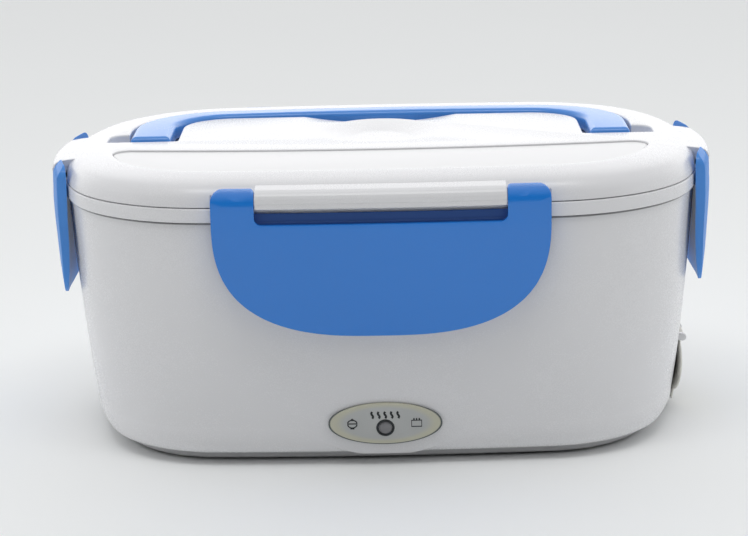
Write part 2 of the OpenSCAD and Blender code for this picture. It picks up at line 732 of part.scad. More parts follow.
module clip(side) {
    r = side_radius(side);
    hw = clip_width(side);
    nw = notch_width(side);
    half = clip_half(hw, nw);
    o = clip_out;
    f = clip_foot;
    x = axis_x(side);
    hook_hw = nw * 0.6;
    hook_in = 0.6;
    web_top = lid_z - 1.6;
    color(blue) on_side(side) difference() {
        union() {
            intersection() {
                bent(side, hw, [
                    [0.7, clip_top + 1], [0.8, rim_z + 5], [0.9, rim_z - 7], [0.6, rim_z - 17],
                    [0.45, rim_z - 27], [0.4, f + 7], [0.4, f + 1.8], [0.5, f + 0.4],
                    [0.8, f], [1.2, f + 0.4], [1.5, f + 2], [2.2, f + 7.5],
                    [3.2, rim_z - 19], [o - 0.2, rim_z - 8], [o, rim_z - 2], [o - 0.2, clip_top - 6],
                    [o - 0.6, clip_top - 2.6], [o - 1.2, clip_top - 1.2], [o - 2.1, clip_top - 0.2],
                    [o - 2.6, clip_top + 1]]);
                translate([r - 60, 0, 0]) rotate([90, 0, 90]) linear_extrude(height = 80)
                    polygon(concat(half, reversed(flipped(half, -1, 1))));
            }
            intersection() {
                bent(side, nw, [[0.8, notch_z - 2], [2, notch_z - 2], [2, notch_z + 0.6], [1.6, notch_z + 1],
                    [1.6, web_top], [0.8, web_top]]);
                translate([r - 60, -nw - 0.5, 0]) cube([80, 2 * nw + 1, 150]);
            }
            intersection() {
                bent(side, hook_hw, [[1.2, rim_z - 3.4], [-hook_in, rim_z - 1.4], [-hook_in, rim_z - 0.1],
                    [1.2, rim_z - 0.1]]);
                translate([r - 60, -hook_hw, 0]) cube([80, 2 * hook_hw, 150]);
            }
            for (s = [-1, 1]) translate([x, s * (nw - stub_l / 2 + 1), axis_z]) rotate([90, 0, 0])
                cylinder(r = stub_r, h = stub_l + 2, center = true, $fn = round_fn);
        }
        for (s = [-1, 1]) translate([x, s * (nw + horn_w / 2 + 2), axis_z])
            rotate([90, 0, 0]) difference() {
            translate([-20, 0, -horn_w / 2 - 3]) cube([40, 20, horn_w + 6]);
            translate([0, 0, -horn_w]) cylinder(r = horn_r, h = 2 * horn_w, $fn = round_fn);
        }
    }
}

module clip_front() {
    clip("front");
}

module clip_rear() {
    clip("rear");
}

module clip_left() {
    clip("left");
}

module clip_right() {
    clip("right");
}

// ---- Handle and its channel ----
handle_y = 0.8;
handle_axis_z = top_z - 3.1;
bar_w = 10;
bar_bow = 2;
handle_inner_r = 21;
handle_low = handle_z - strap_t;
channel_z = handle_low - 0.8;
channel_gap = 1.2;
island_gap = 2.8;
island_back_gap = 2.2;
island_r = 18;
pocket_x = handle_hw + 8;
leg_nose = 2.1;
front_room = 5.4;
tray_wall = 1.8;
handle_back = handle_y + handle_reach;

// Half of a U-shaped outline, from the front end of the leg round to the slightly bowed bar.
function bend(hw, y0, y1, r, bow, n = 8) = concat([[hw, y0]],
    [for (i = [0:n]) [hw - r + r * cos(90 * i / n), y1 - r + r * sin(90 * i / n)]],
    [for (k = [0.7, 0.35]) [(hw - r) * k, y1 + bow * (1 - k * k)]]);

function u_shape(hw, y0, y1, r, bow = bar_bow) = let (b = bend(hw, y0, y1, r, bow))
    concat(b, [[0, y1 + bow]], reversed(flipped(b, -1, 1)));

module handle() {
    nose = 1.4;
    inner_hw = handle_hw - strap_w;
    dz = handle_low - handle_axis_z;
    far = handle_reach + bar_bow + 1;
    pin_l = 6.2;
    color(blue) union() {
        intersection() {
            translate([0, 0, handle_low]) linear_extrude(height = strap_t) difference() {
                polygon(u_shape(handle_hw, handle_y - 10, handle_back, handle_r));
                polygon(u_shape(inner_hw, handle_y - 20, handle_back - bar_w, handle_inner_r));
            }
            translate([-120, handle_y, handle_axis_z]) rotate([90, 0, 90])
                linear_extrude(height = 240) polygon(concat(
                [[far, dz - 1], [-1.3, dz - 1], [-1.3, dz]],
                [for (a = [225:-15:180]) leg_nose * [cos(a), sin(a)]],
                [[-leg_nose, dz + strap_t - nose], [-leg_nose + 0.4, dz + strap_t - 0.4],
                    [-leg_nose + nose, dz + strap_t + 0.01], [far, dz + strap_t + 1]]));
        }
        for (s = [-1, 1]) translate([s * (inner_hw + 1 - pin_l / 2), handle_y, handle_axis_z])
            rotate([0, 90, 0]) cylinder(r = handle_pin_r, h = pin_l, center = true, $fn = round_fn);
    }
}

// The channel's outline, grown by w all round.
module channel_shape(w) {
    y0 = handle_y - front_room - w;
    inner_hw = handle_hw - strap_w - island_gap;
    difference() {
        union() {
            polygon(u_shape(handle_hw + channel_gap + w, y0, handle_back + channel_gap + w,
                handle_r + channel_gap + w));
            for (s = [-1, 1]) translate([s * (pocket_x + w) / 2, (y0 + handle_y + 9 + w) / 2])
                square([pocket_x + w, handle_y + 9 + w - y0], center = true);
        }
        polygon(u_shape(inner_hw - w, y0 - 1, handle_back - bar_w - island_back_gap - w, island_r, 0));
    }
}

// ---- Cutlery compartment in the front of the lid ----
cover_top = top_z - 0.5;
cover_low = cover_top - cover_t;
cover_fit = 0.4;
tray_z = top_z - tray_depth;
tray_shelf = 1.6;
tray_r = 5.6;
bow_r = 672;

function arc_points(c, r, a0, a1, n) = [for (i = [1:n])
    let (a = a0 + (a1 - a0) * (i - 0.5) / n) c + r * [cos(a), sin(a)]];

// Half of the compartment's outline: the lid's outline drawn in by d, then a rounded end, then the
// slightly bowed line behind, moved back by w.
function d_half(d, w) = let (
    bow = [0, bow_r - tray_y + w],
    from_side = bow - [side_c, 0],
    far = norm(from_side),
    u = from_side / far,
    a = side_r - d - tray_r,
    b = bow_r + tray_r,
    along = (a * a - b * b + far * far) / (2 * far),
    end = [side_c, 0] + along * u + sqrt(a * a - along * along) * [u[1], -u[0]],
    side_end = atan2(end[1], end[0] - side_c),
    bow_end = atan2(end[1] - bow[1], end[0])
) concat(
    arc_points([0, -front_c], front_r - d, -90, -front_turn, 6),
    arc_points([corner_c[0], -corner_c[1]], corner_r - d, -front_turn, -side_turn, 12),
    arc_points([side_c, 0], side_r - d, -side_turn, side_end, 3),
    arc_points(end, tray_r, side_end, bow_end + 180, 10),
    arc_points(bow, bow_r, bow_end, -90, 10));

module d_shape(d, w) {
    half = d_half(d, w);
    polygon(concat(half, reversed(flipped(half, -1, 1))));
}

module cutlery_cover() {
    groove_r = 0.9;
    groove_l = 16;
    color([0.9, 0.9, 0.92]) difference() {
        translate([0, 0, cover_low]) linear_extrude(height = cover_t) d_shape(tray_in, -cover_fit - 0.2);
        translate([0, -half_d + tray_in, cover_top]) rotate([0, 90, 0])
            cylinder(r = groove_r, h = groove_l, center = true, $fn = round_fn);
    }
}

// ---- Lid ----
scoop_hw = 23;
scoop_y = 5;
scoop_hh = 26;

module lid_cover() {
    u = top_z - lid_wall - 0.2;
    edge = 4.7;
    color(white) difference() {
        union() {
            loft([
                [u, 14.5], [u - 0.9, 7], [u - 2.8, 4.4], [lid_z, 3.9], [lid_z, 0.6], [lid_z + 0.3, 0.3],
                [top_z - 6.7, 0.9], [top_z - 4.2, 2.2], [top_z - 2.7, 3.8], [top_z - 1.7, 6],
                [top_z - 1, 9], [top_z - 0.4, 12.4], [top_z, 15.6]]);
            translate([0, 0, channel_z - tray_wall])
                linear_extrude(height = u - channel_z + tray_wall + 0.4)
                channel_shape(tray_wall);
            translate([0, 0, tray_z - tray_wall]) linear_extrude(height = u - tray_z + tray_wall + 0.4)
                d_shape(tray_in - cover_fit - tray_wall, tray_wall);
            for (side = ["front", "rear", "left", "right"]) on_side(side) ledge(side);
        }
        translate([0, 0, channel_z]) linear_extrude(height = 20) channel_shape(0);
        translate([0, 0, cover_low - seat]) linear_extrude(height = 20) d_shape(tray_in - cover_fit, 0);
        translate([0, 0, tray_z]) linear_extrude(height = 20)
            d_shape(tray_in - cover_fit + tray_shelf, -tray_shelf);
        for (side = ["front", "rear", "left", "right"]) on_side(side) ledge_holes(side);
        for (s = [-1, 1]) translate([s * (handle_hw - strap_w - 3), handle_y, handle_axis_z])
            rotate([0, 90, 0])
            cylinder(r = handle_pin_r + pin_fit, h = 5, center = true, $fn = round_fn);
        translate([0, scoop_y, top_z - 1]) linear_extrude(height = 2) difference() {
            polygon(oval(scoop_hw, scoop_hh));
            translate([0, -4]) polygon(oval(scoop_hw / 2, scoop_hh - 9));
        }
    }
}

panel_low = seam_z - 1.3;
panel_top = panel_low + 1.6;
seal_z = seam_z + 0.1;
seal_h = 1.6;

module lid_inner_panel() {
    flange_z = seal_z + seal_h + seat;
    upstand_z = top_z - lid_wall - 0.2 - 1;
    color([0.88, 0.88, 0.89]) loft([
        [panel_low, 8.8], [panel_low + 0.6, 8], [flange_z, 8], [flange_z, 4.7], [flange_z + 1.4, 4.7],
        [flange_z + 1.4, 8.01], [upstand_z, 8.01], [upstand_z, 9.5], [panel_top, 9.5]]);
}

module lid_seal() {
    color([0.8, 0.8, 0.82]) loop_loft([
        [seal_z, 5], [seal_z + 0.4, 4.6], [seal_z + seal_h, 4.6],
        [seal_z + seal_h, 7.6], [seal_z + 0.4, 7.6], [seal_z, 7.2]]);
}

// ---- What lifts out: the food container, the side dish tray and its lid ----
pot_z = plate_z + plate_t + gap;
pot_rim_z = seam_z - 4.1;
function pot_in(z) = liner_in(z) + 1.2;

module food_container() {
    lip = 1.6;
    color([0.93, 0.92, 0.9]) loft([
        [pot_z, pot_in(pot_z) + 2.4], [pot_z + 0.7, pot_in(pot_z) + 0.8],
        [pot_z + 2.4, pot_in(pot_z + 2.4)],
        [pot_rim_z - lip, pot_in(pot_rim_z - lip)], [pot_rim_z - lip, pot_in(pot_rim_z) - 0.6],
        [pot_rim_z, pot_in(pot_rim_z) - 0.6],
        [pot_rim_z, pot_in(pot_rim_z) + pot_wall], [pot_z + 3, pot_in(pot_z + 3) + pot_wall],
        [pot_z + pot_wall, pot_in(pot_z) + 3.4]]);
}

dish_rim_z = pot_rim_z + 0.1;
dish_t = 1.2;
dish_rim_t = 0.9;
dish_low = dish_rim_z - dish_h;
function dish_in(z) = pot_in(z) + pot_wall + 0.6;

module right_of(x) {
    intersection() {
        children();
        translate([x, -100, 0]) cube([200, 200, 150]);
    }
}

module side_dish_tray() {
    color([0.55, 0.78, 0.86]) difference() {
        union() {
            right_of(dish_x) loft([[dish_low, dish_in(dish_low) + 1.4], [dish_low + 1.4, dish_in(dish_low)],
                [dish_rim_z + 0.4, dish_in(dish_rim_z)]]);
            right_of(dish_x - 2) loft([[dish_rim_z, pot_in(dish_rim_z) - 0.4],
                [dish_rim_z + dish_rim_t, pot_in(dish_rim_z) - 0.4]]);
        }
        right_of(dish_x + dish_t) loft([[dish_low + dish_t, dish_in(dish_low) + 2.6],
            [dish_low + dish_t + 1.4, dish_in(dish_low) + dish_t],
            [dish_rim_z + 1.2, dish_in(dish_rim_z) + dish_t]]);
    }
}

tray_lid_z = dish_rim_z + dish_rim_t + 0.1;
skirt_x = dish_x + dish_t + 1;
skirt_inset = dish_in(dish_rim_z) + dish_t + 1;

module tray_lid() {
    t = 1.1;
    deep = 2.6;
    color([0.8, 0.9, 0.93]) union() {
        right_of(dish_x - 2) loft([[tray_lid_z, pot_in(dish_rim_z) - 0.4],
            [tray_lid_z + t, pot_in(dish_rim_z) - 0.1]]);
        difference() {
            right_of(skirt_x) loft([[tray_lid_z - deep, skirt_inset], [tray_lid_z + 0.3, skirt_inset]]);
            right_of(skirt_x + 1.2) loft([[tray_lid_z - deep - 1, skirt_inset + 1.2],
                [tray_lid_z, skirt_inset + 1.2]]);
        }
    }
}

module tray_seal() {
    color([0.85, 0.86, 0.88]) difference() {
        right_of(skirt_x - 0.5) loft([[tray_lid_z - 2.3, skirt_inset - 0.5],
            [tray_lid_z - 1.2, skirt_inset - 0.5]]);
        right_of(skirt_x) loft([[tray_lid_z - 3, skirt_inset], [tray_lid_z, skirt_inset]]);
    }
}

outer_shell();
liner_tub();
bottom_cover();
bottom_screws();
rubber_feet();
heating_plate();
plate_seal();
heater_element();
mica_sheet();
heater_clamp();
clamp_screws();
thermostat();
thermal_fuse();
live_wire();
neutral_wire();
link_wire();
fuse_wire();
lamp_wires();
badge_plate();
indicator_lens();
lamp_board();
power_inlet();
inlet_pins();
inlet_cover();
lid_cover();
lid_inner_panel();
lid_seal();
cutlery_cover();
handle();
clip_front();
clip_rear();
clip_left();
clip_right();
food_container();
side_dish_tray();
tray_lid();
tray_seal();
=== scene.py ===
import bpy
import bmesh
import json
import math
from mathutils import Vector, Matrix


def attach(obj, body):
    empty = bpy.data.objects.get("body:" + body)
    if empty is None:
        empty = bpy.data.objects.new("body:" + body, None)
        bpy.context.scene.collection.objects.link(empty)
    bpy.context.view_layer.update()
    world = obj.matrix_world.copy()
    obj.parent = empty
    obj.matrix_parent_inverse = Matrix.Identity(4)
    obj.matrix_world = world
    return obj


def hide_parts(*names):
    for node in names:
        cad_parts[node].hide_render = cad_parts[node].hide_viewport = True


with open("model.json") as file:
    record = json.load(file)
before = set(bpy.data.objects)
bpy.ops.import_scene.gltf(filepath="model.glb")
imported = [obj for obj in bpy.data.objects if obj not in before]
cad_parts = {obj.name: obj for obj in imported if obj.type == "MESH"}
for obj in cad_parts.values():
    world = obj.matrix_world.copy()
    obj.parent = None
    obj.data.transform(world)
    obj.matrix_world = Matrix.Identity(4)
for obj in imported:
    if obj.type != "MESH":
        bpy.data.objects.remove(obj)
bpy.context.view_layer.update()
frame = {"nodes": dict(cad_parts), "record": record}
nodes = frame["nodes"]
mm = 0.001

# The camera is placed in millimetres.
view = {"place": (3.51, -876.93, 262.46), "aim": (-3.256, 0.0, 52.579), "lens": 119.46,
        "roll": -1.2527, "sensor": 36, "far": 50}
light = {"top": 0.7, "side": 0.94, "front": 0.0, "behind": 1.62, "seen": 0.8, "lamp": 4.0}


def placeCamera():
    data = bpy.data.cameras.new("camera")
    data.lens = view["lens"]
    data.sensor_width = view["sensor"]
    data.clip_end = view["far"]
    cam = bpy.data.objects.new("camera", data)
    bpy.context.scene.collection.objects.link(cam)
    place, aim = Vector(view["place"]) * mm, Vector(view["aim"]) * mm
    ahead = (aim - place).normalized()
    level = ahead.cross(Vector((0, 0, 1))).normalized()
    turn = math.radians(view["roll"])
    right = level * math.cos(turn) + level.cross(ahead) * math.sin(turn)
    up = right.cross(ahead)
    spin = Matrix((right, up, -ahead)).transposed()
    cam.matrix_world = Matrix.Translation(place) @ spin.to_4x4()
    bpy.context.scene.camera = cam


placeCamera()
print("camera placed")


# A wire is a shader socket that can be added, multiplied and so on.
class Wire:
    def __init__(self, net, socket):
        self.net, self.socket = net, socket

    def calc(self, operation, other=0.0):
        return self.net.node("ShaderNodeMath", {"operation": operation}, {0: self, 1: other})

    def __add__(self, other):
        return self.calc("ADD", other)

    def __sub__(self, other):
        return self.calc("SUBTRACT", other)

    def __rsub__(self, other):
        return self.net.node("ShaderNodeMath", {"operation": "SUBTRACT"}, {0: other, 1: self})

    def __mul__(self, other):
        return self.calc("MULTIPLY", other)

    def __truediv__(self, other):
        return self.calc("DIVIDE", other)

    def __pow__(self, other):
        return self.calc("POWER", other)

    __radd__ = __add__

    def step(self, low, high):
        return self.net.node("ShaderNodeMapRange", {"interpolation_type": "SMOOTHSTEP"},
                             {"Value": self, "From Min": low, "From Max": high})


class Net:
    def __init__(self, tree):
        self.tree = tree
        tree.nodes.clear()

    def node(self, kind, settings, values, out=0):
        made = self.tree.nodes.new(kind)
        for key, value in settings.items():
            setattr(made, key, value)
        for key, value in values.items():
            if isinstance(value, Wire):
                self.tree.links.new(value.socket, made.inputs[key])
            else:
                made.inputs[key].default_value = value
        return Wire(self, made.outputs[out]) if made.outputs else None

    def place(self, kind="Object"):
        return self.node("ShaderNodeTexCoord", {}, {}, out=kind)

    def axes(self, vector):
        split = self.node("ShaderNodeSeparateXYZ", {}, {0: vector}).socket.node
        return [Wire(self, out) for out in split.outputs]

    def noise(self, vector, scale, detail=2.0, rough=0.5):
        values = {"Vector": vector, "Scale": scale, "Detail": detail, "Roughness": rough}
        return self.node("ShaderNodeTexNoise", {}, values)

    def mix(self, mask, first, second):
        return self.node("ShaderNodeMix", {"data_type": "RGBA"}, {0: mask, 6: first, 7: second}, out=2)

    def bump(self, height, strength, distance):
        values = {"Height": height, "Strength": strength, "Distance": distance}
        return self.node("ShaderNodeBump", {}, values)


def shade(colour, k):
    return tuple(min(1.0, c * k) for c in colour[:3]) + (1.0,)


def startMaterial(name):
    material = bpy.data.materials.new(name)
    material.use_nodes = True
    net = Net(material.node_tree)
    net.material = material
    return net, net.place()


def endMaterial(net, values):
    shader = net.node("ShaderNodeBsdfPrincipled", {}, values)
    net.node("ShaderNodeOutputMaterial", {}, {"Surface": shader})
    return net.material


# Moulded plastic: a faint flow of colour, a fine grain, and patches that are rubbed a little smoother.
# A seam is a height in millimetres where a thin line of painted shade is drawn, standing in for the shadow in the
# joint.
def mouldedPlastic(name, colour, rough=0.3, grain=0.02, coat=0.0, flow=0.015, seam=None, gloss=0.5):
    net, here = startMaterial(name)
    slow = net.noise(here, 9.0, 3.0)
    fine = net.noise(here, 2600.0, 2.0)
    rubbed = net.noise(here, 38.0, 4.0, 0.6)
    base = net.mix(slow, shade(colour, 1 - flow), shade(colour, 1 + flow))
    # Painted shade: the colour is darkened in a thin band around the seam height.
    if seam:
        away = (net.axes(here)[2] - seam * mm).calc("ABSOLUTE")
        base = net.mix(away.step(0.28 * mm, 0.5 * mm), shade(colour, 0.42), base)
    return endMaterial(net, {"Base Color": base, "Roughness": rough + (rubbed - 0.5) * 0.04 + (fine - 0.5) * 0.05,
                             "IOR": 1.49, "Specular IOR Level": gloss, "Coat Weight": coat, "Coat Roughness": 0.12,
                             "Normal": net.bump(fine, grain * 10, 0.00002)})


def softRubber(name, colour, rough=0.6):
    net, here = startMaterial(name)
    dust = net.noise(here, 420.0, 4.0, 0.7)
    cloud = net.noise(here, 30.0, 2.0)
    base = net.mix((dust * 0.5 + cloud * 0.5).step(0.35, 0.7), shade(colour, 0.92), shade(colour, 1.05))
    return endMaterial(net, {"Base Color": base, "Roughness": rough + (dust - 0.5) * 0.2, "IOR": 1.42,
                             "Normal": net.bump(dust, 0.25, 0.00003)})


# Metal with fine lines along one axis.
def drawnMetal(name, colour, rough=0.35, stretch=(40.0, 900.0, 900.0)):
    net, here = startMaterial(name)
    long = net.node("ShaderNodeMapping", {}, {"Vector": here, "Scale": stretch})
    lines = net.noise(long, 3.0, 3.0, 0.6)
    stain = net.noise(here, 55.0, 3.0)
    base = net.mix(stain, shade(colour, 0.93), shade(colour, 1.04))
    return endMaterial(net, {"Base Color": base, "Roughness": rough + (lines - 0.5) * 0.18, "Metallic": 1.0,
                             "Normal": net.bump(lines, 0.2, 0.00002)})


def flakyMineral(name, colour):
    net, here = startMaterial(name)
    flakes = net.node("ShaderNodeTexVoronoi", {}, {"Vector": here, "Scale": 340.0})
    tint = net.noise(here, 60.0, 4.0)
    base = net.mix(flakes.step(0.1, 0.8) * 0.6 + tint * 0.4, shade(colour, 0.8), shade(colour, 1.15))
    return endMaterial(net, {"Base Color": base, "Roughness": 0.5 + (tint - 0.5) * 0.3,
                             "Normal": net.bump(flakes, 0.3, 0.00008)})


def braidedSleeve(name, colour):
    net, here = startMaterial(name)
    sizes = {"Vector": here, "Scale": 260.0, "Distortion": 1.5, "Detail": 2.0}
    weave = net.node("ShaderNodeTexWave", {}, sizes, out=1)
    base = net.mix(weave, shade(colour, 0.8), shade(colour, 1.05))
    return endMaterial(net, {"Base Color": base, "Roughness": 0.55 + weave * 0.2,
                             "Normal": net.bump(weave, 0.4, 0.00008)})


# The badge: satin silver that turns warm towards a printed rim, with a thin dark line at its edge.
def badgeFinish(name, centre, half):
    net, here = startMaterial(name)
    x, y, z = net.axes(here)
    u = (x - centre[0] * mm) / (half[0] * mm)
    v = (z - centre[1] * mm) / (half[1] * mm)
    reach = (u * u + v * v) ** 0.5
    fine = net.noise(here, 1500.0, 2.0)
    cloud = net.noise(here, 90.0, 2.0)
    silver = net.mix(cloud, (0.46, 0.475, 0.47, 1), (0.52, 0.53, 0.52, 1))
    warm = net.mix(reach.step(0.7, 0.9), silver, (0.56, 0.55, 0.44, 1))
    edged = net.mix(reach.step(0.955, 0.985), warm, (0.08, 0.1, 0.1, 1))
    return endMaterial(net, {"Base Color": edged, "Metallic": 0.25, "Roughness": 0.36 + (fine - 0.5) * 0.12,
                             "Normal": net.bump(fine, 0.1, 0.00002)})


def smokedLens(name, colour):
    net, here = startMaterial(name)
    cloud = net.noise(here, 400.0, 2.0)
    base = net.mix(cloud, shade(colour, 0.85), shade(colour, 1.2))
    return endMaterial(net, {"Base Color": base, "Roughness": 0.14 + cloud * 0.1,
                             "Coat Weight": 0.5, "Coat Roughness": 0.05})


def boardFinish(name, colour):
    net, here = startMaterial(name)
    values = {"Vector": here, "Scale": 420.0, "Mortar Size": 0.04, "Mortar": (0.5, 0.42, 0.18, 1),
              "Color1": shade(colour, 0.8), "Color2": shade(colour, 1.2)}
    tracks = net.node("ShaderNodeTexBrick", {"offset": 0.5}, values)
    return endMaterial(net, {"Base Color": tracks, "Roughness": 0.4})


white = (0.82, 0.82, 0.835)
blue = (0.018, 0.22, 0.74)
finishes = {
    # The shell white carries a thin line of painted shade at its lower seam.
    "shell_white": mouldedPlastic("shellWhite", white, 0.27, seam=86.9),
    "mica": flakyMineral("micaFlake", (0.45, 0.32, 0.16)),
    "sleeve_cream": braidedSleeve("sleeveCream", (0.78, 0.74, 0.62)),
    "badge_silver": badgeFinish("badgeSilver", (0.0, 15.72), (19.3, 7.72)),
    "lens_grey": smokedLens("lensGrey", (0.2, 0.2, 0.21)),
    "board_green": boardFinish("boardGreen", (0.05, 0.22, 0.08)),
    # The side clips use the clip blue made lighter: painted light on the side clips.
    "side_lit_blue": mouldedPlastic("sideLitBlue", (0.09, 0.3, 0.78), 0.3, 0.012, 0.3, 0.05, gloss=0.0)}
plastics = {
    "lid_white": ("lidWhite", shade(white, 0.99), 0.27),
    "cover_white": ("coverWhite", (0.8, 0.8, 0.805), 0.36, 0.03),
    "panel_white": ("panelWhite", (0.78, 0.78, 0.79), 0.45, 0.04),
    "clip_blue": ("clipBlue", blue, 0.22, 0.012, 0.35, 0.05),
    # The handle's blue is lighter than the clip blue: painted light on the handle bar.
    "handle_blue": ("handleBlue", (0.075, 0.29, 0.79), 0.26, 0.015, 0.15, 0.05),
    "container_white": ("containerWhite", (0.84, 0.83, 0.8), 0.38, 0.03),
    "tray_blue": ("trayBlue", (0.32, 0.58, 0.68), 0.36, 0.03),
    "tray_lid_clear": ("trayLidFrosted", (0.66, 0.78, 0.82), 0.3, 0.05),
    "thermostat_black": ("thermostatBlack", (0.05, 0.05, 0.055), 0.45, 0.05),
    "wire_brown": ("wireBrown", (0.24, 0.08, 0.03), 0.35, 0.03),
    "wire_blue": ("wireBlue", (0.03, 0.1, 0.42), 0.35, 0.03),
    "wire_red": ("wireRed", (0.5, 0.03, 0.02), 0.35, 0.03),
    "inlet_black": ("inletBlack", (0.012, 0.012, 0.013), 0.4, 0.05),
    # The bottom cover's white is darkened: painted shade under the body.
    "shady_white": ("shadyWhite", shade(white, 0.72), 0.45, 0.03),
    # The web's dark blue is painted shade under the ledge.
    "web_blue": ("webBlue", (0.02, 0.085, 0.3), 0.5, 0.02),
    "badge_ink": ("badgeInk", (0.01, 0.014, 0.016), 0.5, 0.03)}
rubbers = {
    "foot_rubber": ("footRubber", (0.5, 0.5, 0.48)),
    "seal_grey": ("sealGrey", (0.66, 0.66, 0.68), 0.5),
    "seal_red": ("sealRed", (0.66, 0.2, 0.1), 0.5),
    "flap_silicone": ("flapSilicone", (0.8, 0.79, 0.73), 0.5)}
metals = {
    "screw_steel": ("screwSteel", (0.62, 0.62, 0.62), 0.3),
    "clamp_steel": ("clampSteel", (0.55, 0.55, 0.56), 0.38),
    "plate_aluminium": ("plateAluminium", (0.72, 0.73, 0.74), 0.3, (900.0, 40.0, 900.0)),
    "heater_metal": ("heaterMetal", (0.5, 0.48, 0.44), 0.5, (60.0, 60.0, 900.0)),
    "pin_brass": ("pinBrass", (0.7, 0.52, 0.22), 0.25)}
for make, rows in ((mouldedPlastic, plastics), (softRubber, rubbers), (drawnMetal, metals)):
    finishes.update({slot: make(*values) for slot, values in rows.items()})
print("materials made:", len(finishes))


# The plan outline: arcs that meet smoothly, as (centre, radius, angle), so that any inset is exact.
plan = {"width": 226.0, "depth": 158.0, "frontR": 1000.0, "sideR": 125.0, "cornerR": 54.0,
        "sideFlat": 26.0, "frontFlat": 30.0}
sideC = plan["width"] / 2 - plan["sideR"]
frontC = plan["depth"] / 2 - plan["frontR"]


def cornerCentre():
    a, b = plan["sideR"] - plan["cornerR"], plan["frontR"] - plan["cornerR"]
    span = math.hypot(sideC, frontC)
    along = (a * a - b * b + span * span) / (2 * span)
    across = math.sqrt(a * a - along * along)
    toward = Vector((-sideC, frontC)) / span
    return Vector((sideC, 0)) + toward * along + Vector((-toward.y, toward.x)) * across


cornerC = cornerCentre()
sideTurn = math.atan2(cornerC.y, cornerC.x - sideC)
frontTurn = math.atan2(cornerC.y - frontC, cornerC.x)


# A quarter of the outline's columns. Fine steps near the middle of each side carry the two flats.
def quarterColumns(fine, coarse, corner):
    sideEnd, sideFlat = plan["sideR"] * math.sin(sideTurn), plan["sideFlat"]
    frontEnd, frontFlat = plan["frontR"] * math.cos(frontTurn), plan["frontFlat"]
    sideYs = [sideFlat * i / fine for i in range(fine)]
    sideYs += [sideFlat + (sideEnd - sideFlat) * i / coarse for i in range(coarse)]
    frontXs = [frontEnd + (frontFlat - frontEnd) * i / coarse for i in range(coarse)]
    frontXs += [frontFlat - frontFlat * i / fine for i in range(fine)]
    turns = [sideTurn + (frontTurn - sideTurn) * i / corner for i in range(corner)]
    rows = [(sideC, 0.0, plan["sideR"], math.asin(y / plan["sideR"])) for y in sideYs]
    rows += [(cornerC.x, cornerC.y, plan["cornerR"], turn) for turn in turns]
    rows += [(0.0, frontC, plan["frontR"], math.acos(x / plan["frontR"])) for x in frontXs]
    return rows


def outlineColumns(fine=6, coarse=5, corner=18):
    q = quarterColumns(fine, coarse, corner)
    top = (0.0, frontC, plan["frontR"], math.pi / 2)
    half = q + [top] + [(-cx, cy, r, math.pi - a) for cx, cy, r, a in reversed(q[1:])]
    lower = [(-cx, -cy, r, math.pi + a) for cx, cy, r, a in half]
    end = (-sideC, 0.0, plan["sideR"], math.pi)
    return half + [end] + lower[1:]


def at(column, inset):
    cx, cy, r, a = column
    return cx + (r - inset) * math.cos(a), cy + (r - inset) * math.sin(a)


# Every mesh is written in millimetres and scaled when it is finished.
square = ((-1, -1), (1, -1), (1, 1), (-1, 1))


def turned(x, y, a):
    return x * math.cos(a) - y * math.sin(a), x * math.sin(a) + y * math.cos(a)


def ovalPoints(hw, hh, n=96):
    return [(hw * math.cos(2 * math.pi * i / n), hh * math.sin(2 * math.pi * i / n)) for i in range(n)]


def arcPoints(cx, cy, rx, ry, a0, a1, n=16):
    angles = [math.radians(a0 + (a1 - a0) * i / n) for i in range(n + 1)]
    return [(cx + rx * math.cos(a), cy + ry * math.sin(a)) for a in angles]


def atHeight(points, z):
    return [(x, y, z) for x, y in points]


def dress(made, finish, sharp=38):
    made.data.shade_smooth()
    made.data.set_sharp_from_angle(angle=math.radians(sharp))
    made.data.materials.clear()
    made.data.materials.append(finishes[finish])


def finishMesh(name, mesh, finish, sharp=38):
    work = bmesh.new()
    work.from_mesh(mesh)
    bmesh.ops.remove_doubles(work, verts=work.verts, dist=0.002)
    bmesh.ops.recalc_face_normals(work, faces=work.faces)
    bmesh.ops.scale(work, vec=(mm, mm, mm), verts=work.verts)
    work.to_mesh(mesh)
    work.free()
    made = bpy.data.objects.new(name, mesh)
    bpy.context.scene.collection.objects.link(made)
    dress(made, finish, sharp)
    return made


def rawMesh(name, points, faces):
    mesh = bpy.data.meshes.new(name)
    mesh.from_pydata(points, [], faces)
    mesh.update()
    return mesh


# A skin over rings of points that are joined in order. A closed one joins the last ring to the first.
def solid(name, rings, finish, sharp=38, closed=False):
    n, count = len(rings[0]), len(rings)
    faces = []
    for j in range(count if closed else count - 1):
        a, b = j * n, ((j + 1) % count) * n
        for i in range(n):
            k = (i + 1) % n
            faces.append((a + i, a + k, b + k, b + i))
    if not closed:
        faces.append(tuple(range(n - 1, -1, -1)))
        faces.append(tuple((count - 1) * n + i for i in range(n)))
    return finishMesh(name, rawMesh(name, [p for ring in rings for p in ring], faces), finish, sharp)


def loft(name, profile, finish, columns, closed=False):
    return solid(name, [atHeight([at(c, inset) for c in columns], z) for z, inset in profile], finish, closed=closed)


def sweep(middle, start, turn, steps):
    spun = [turned(start.x, start.y, turn * k / steps) for k in range(steps + 1)]
    return [(middle.x + x, middle.y + y) for x, y in spun]


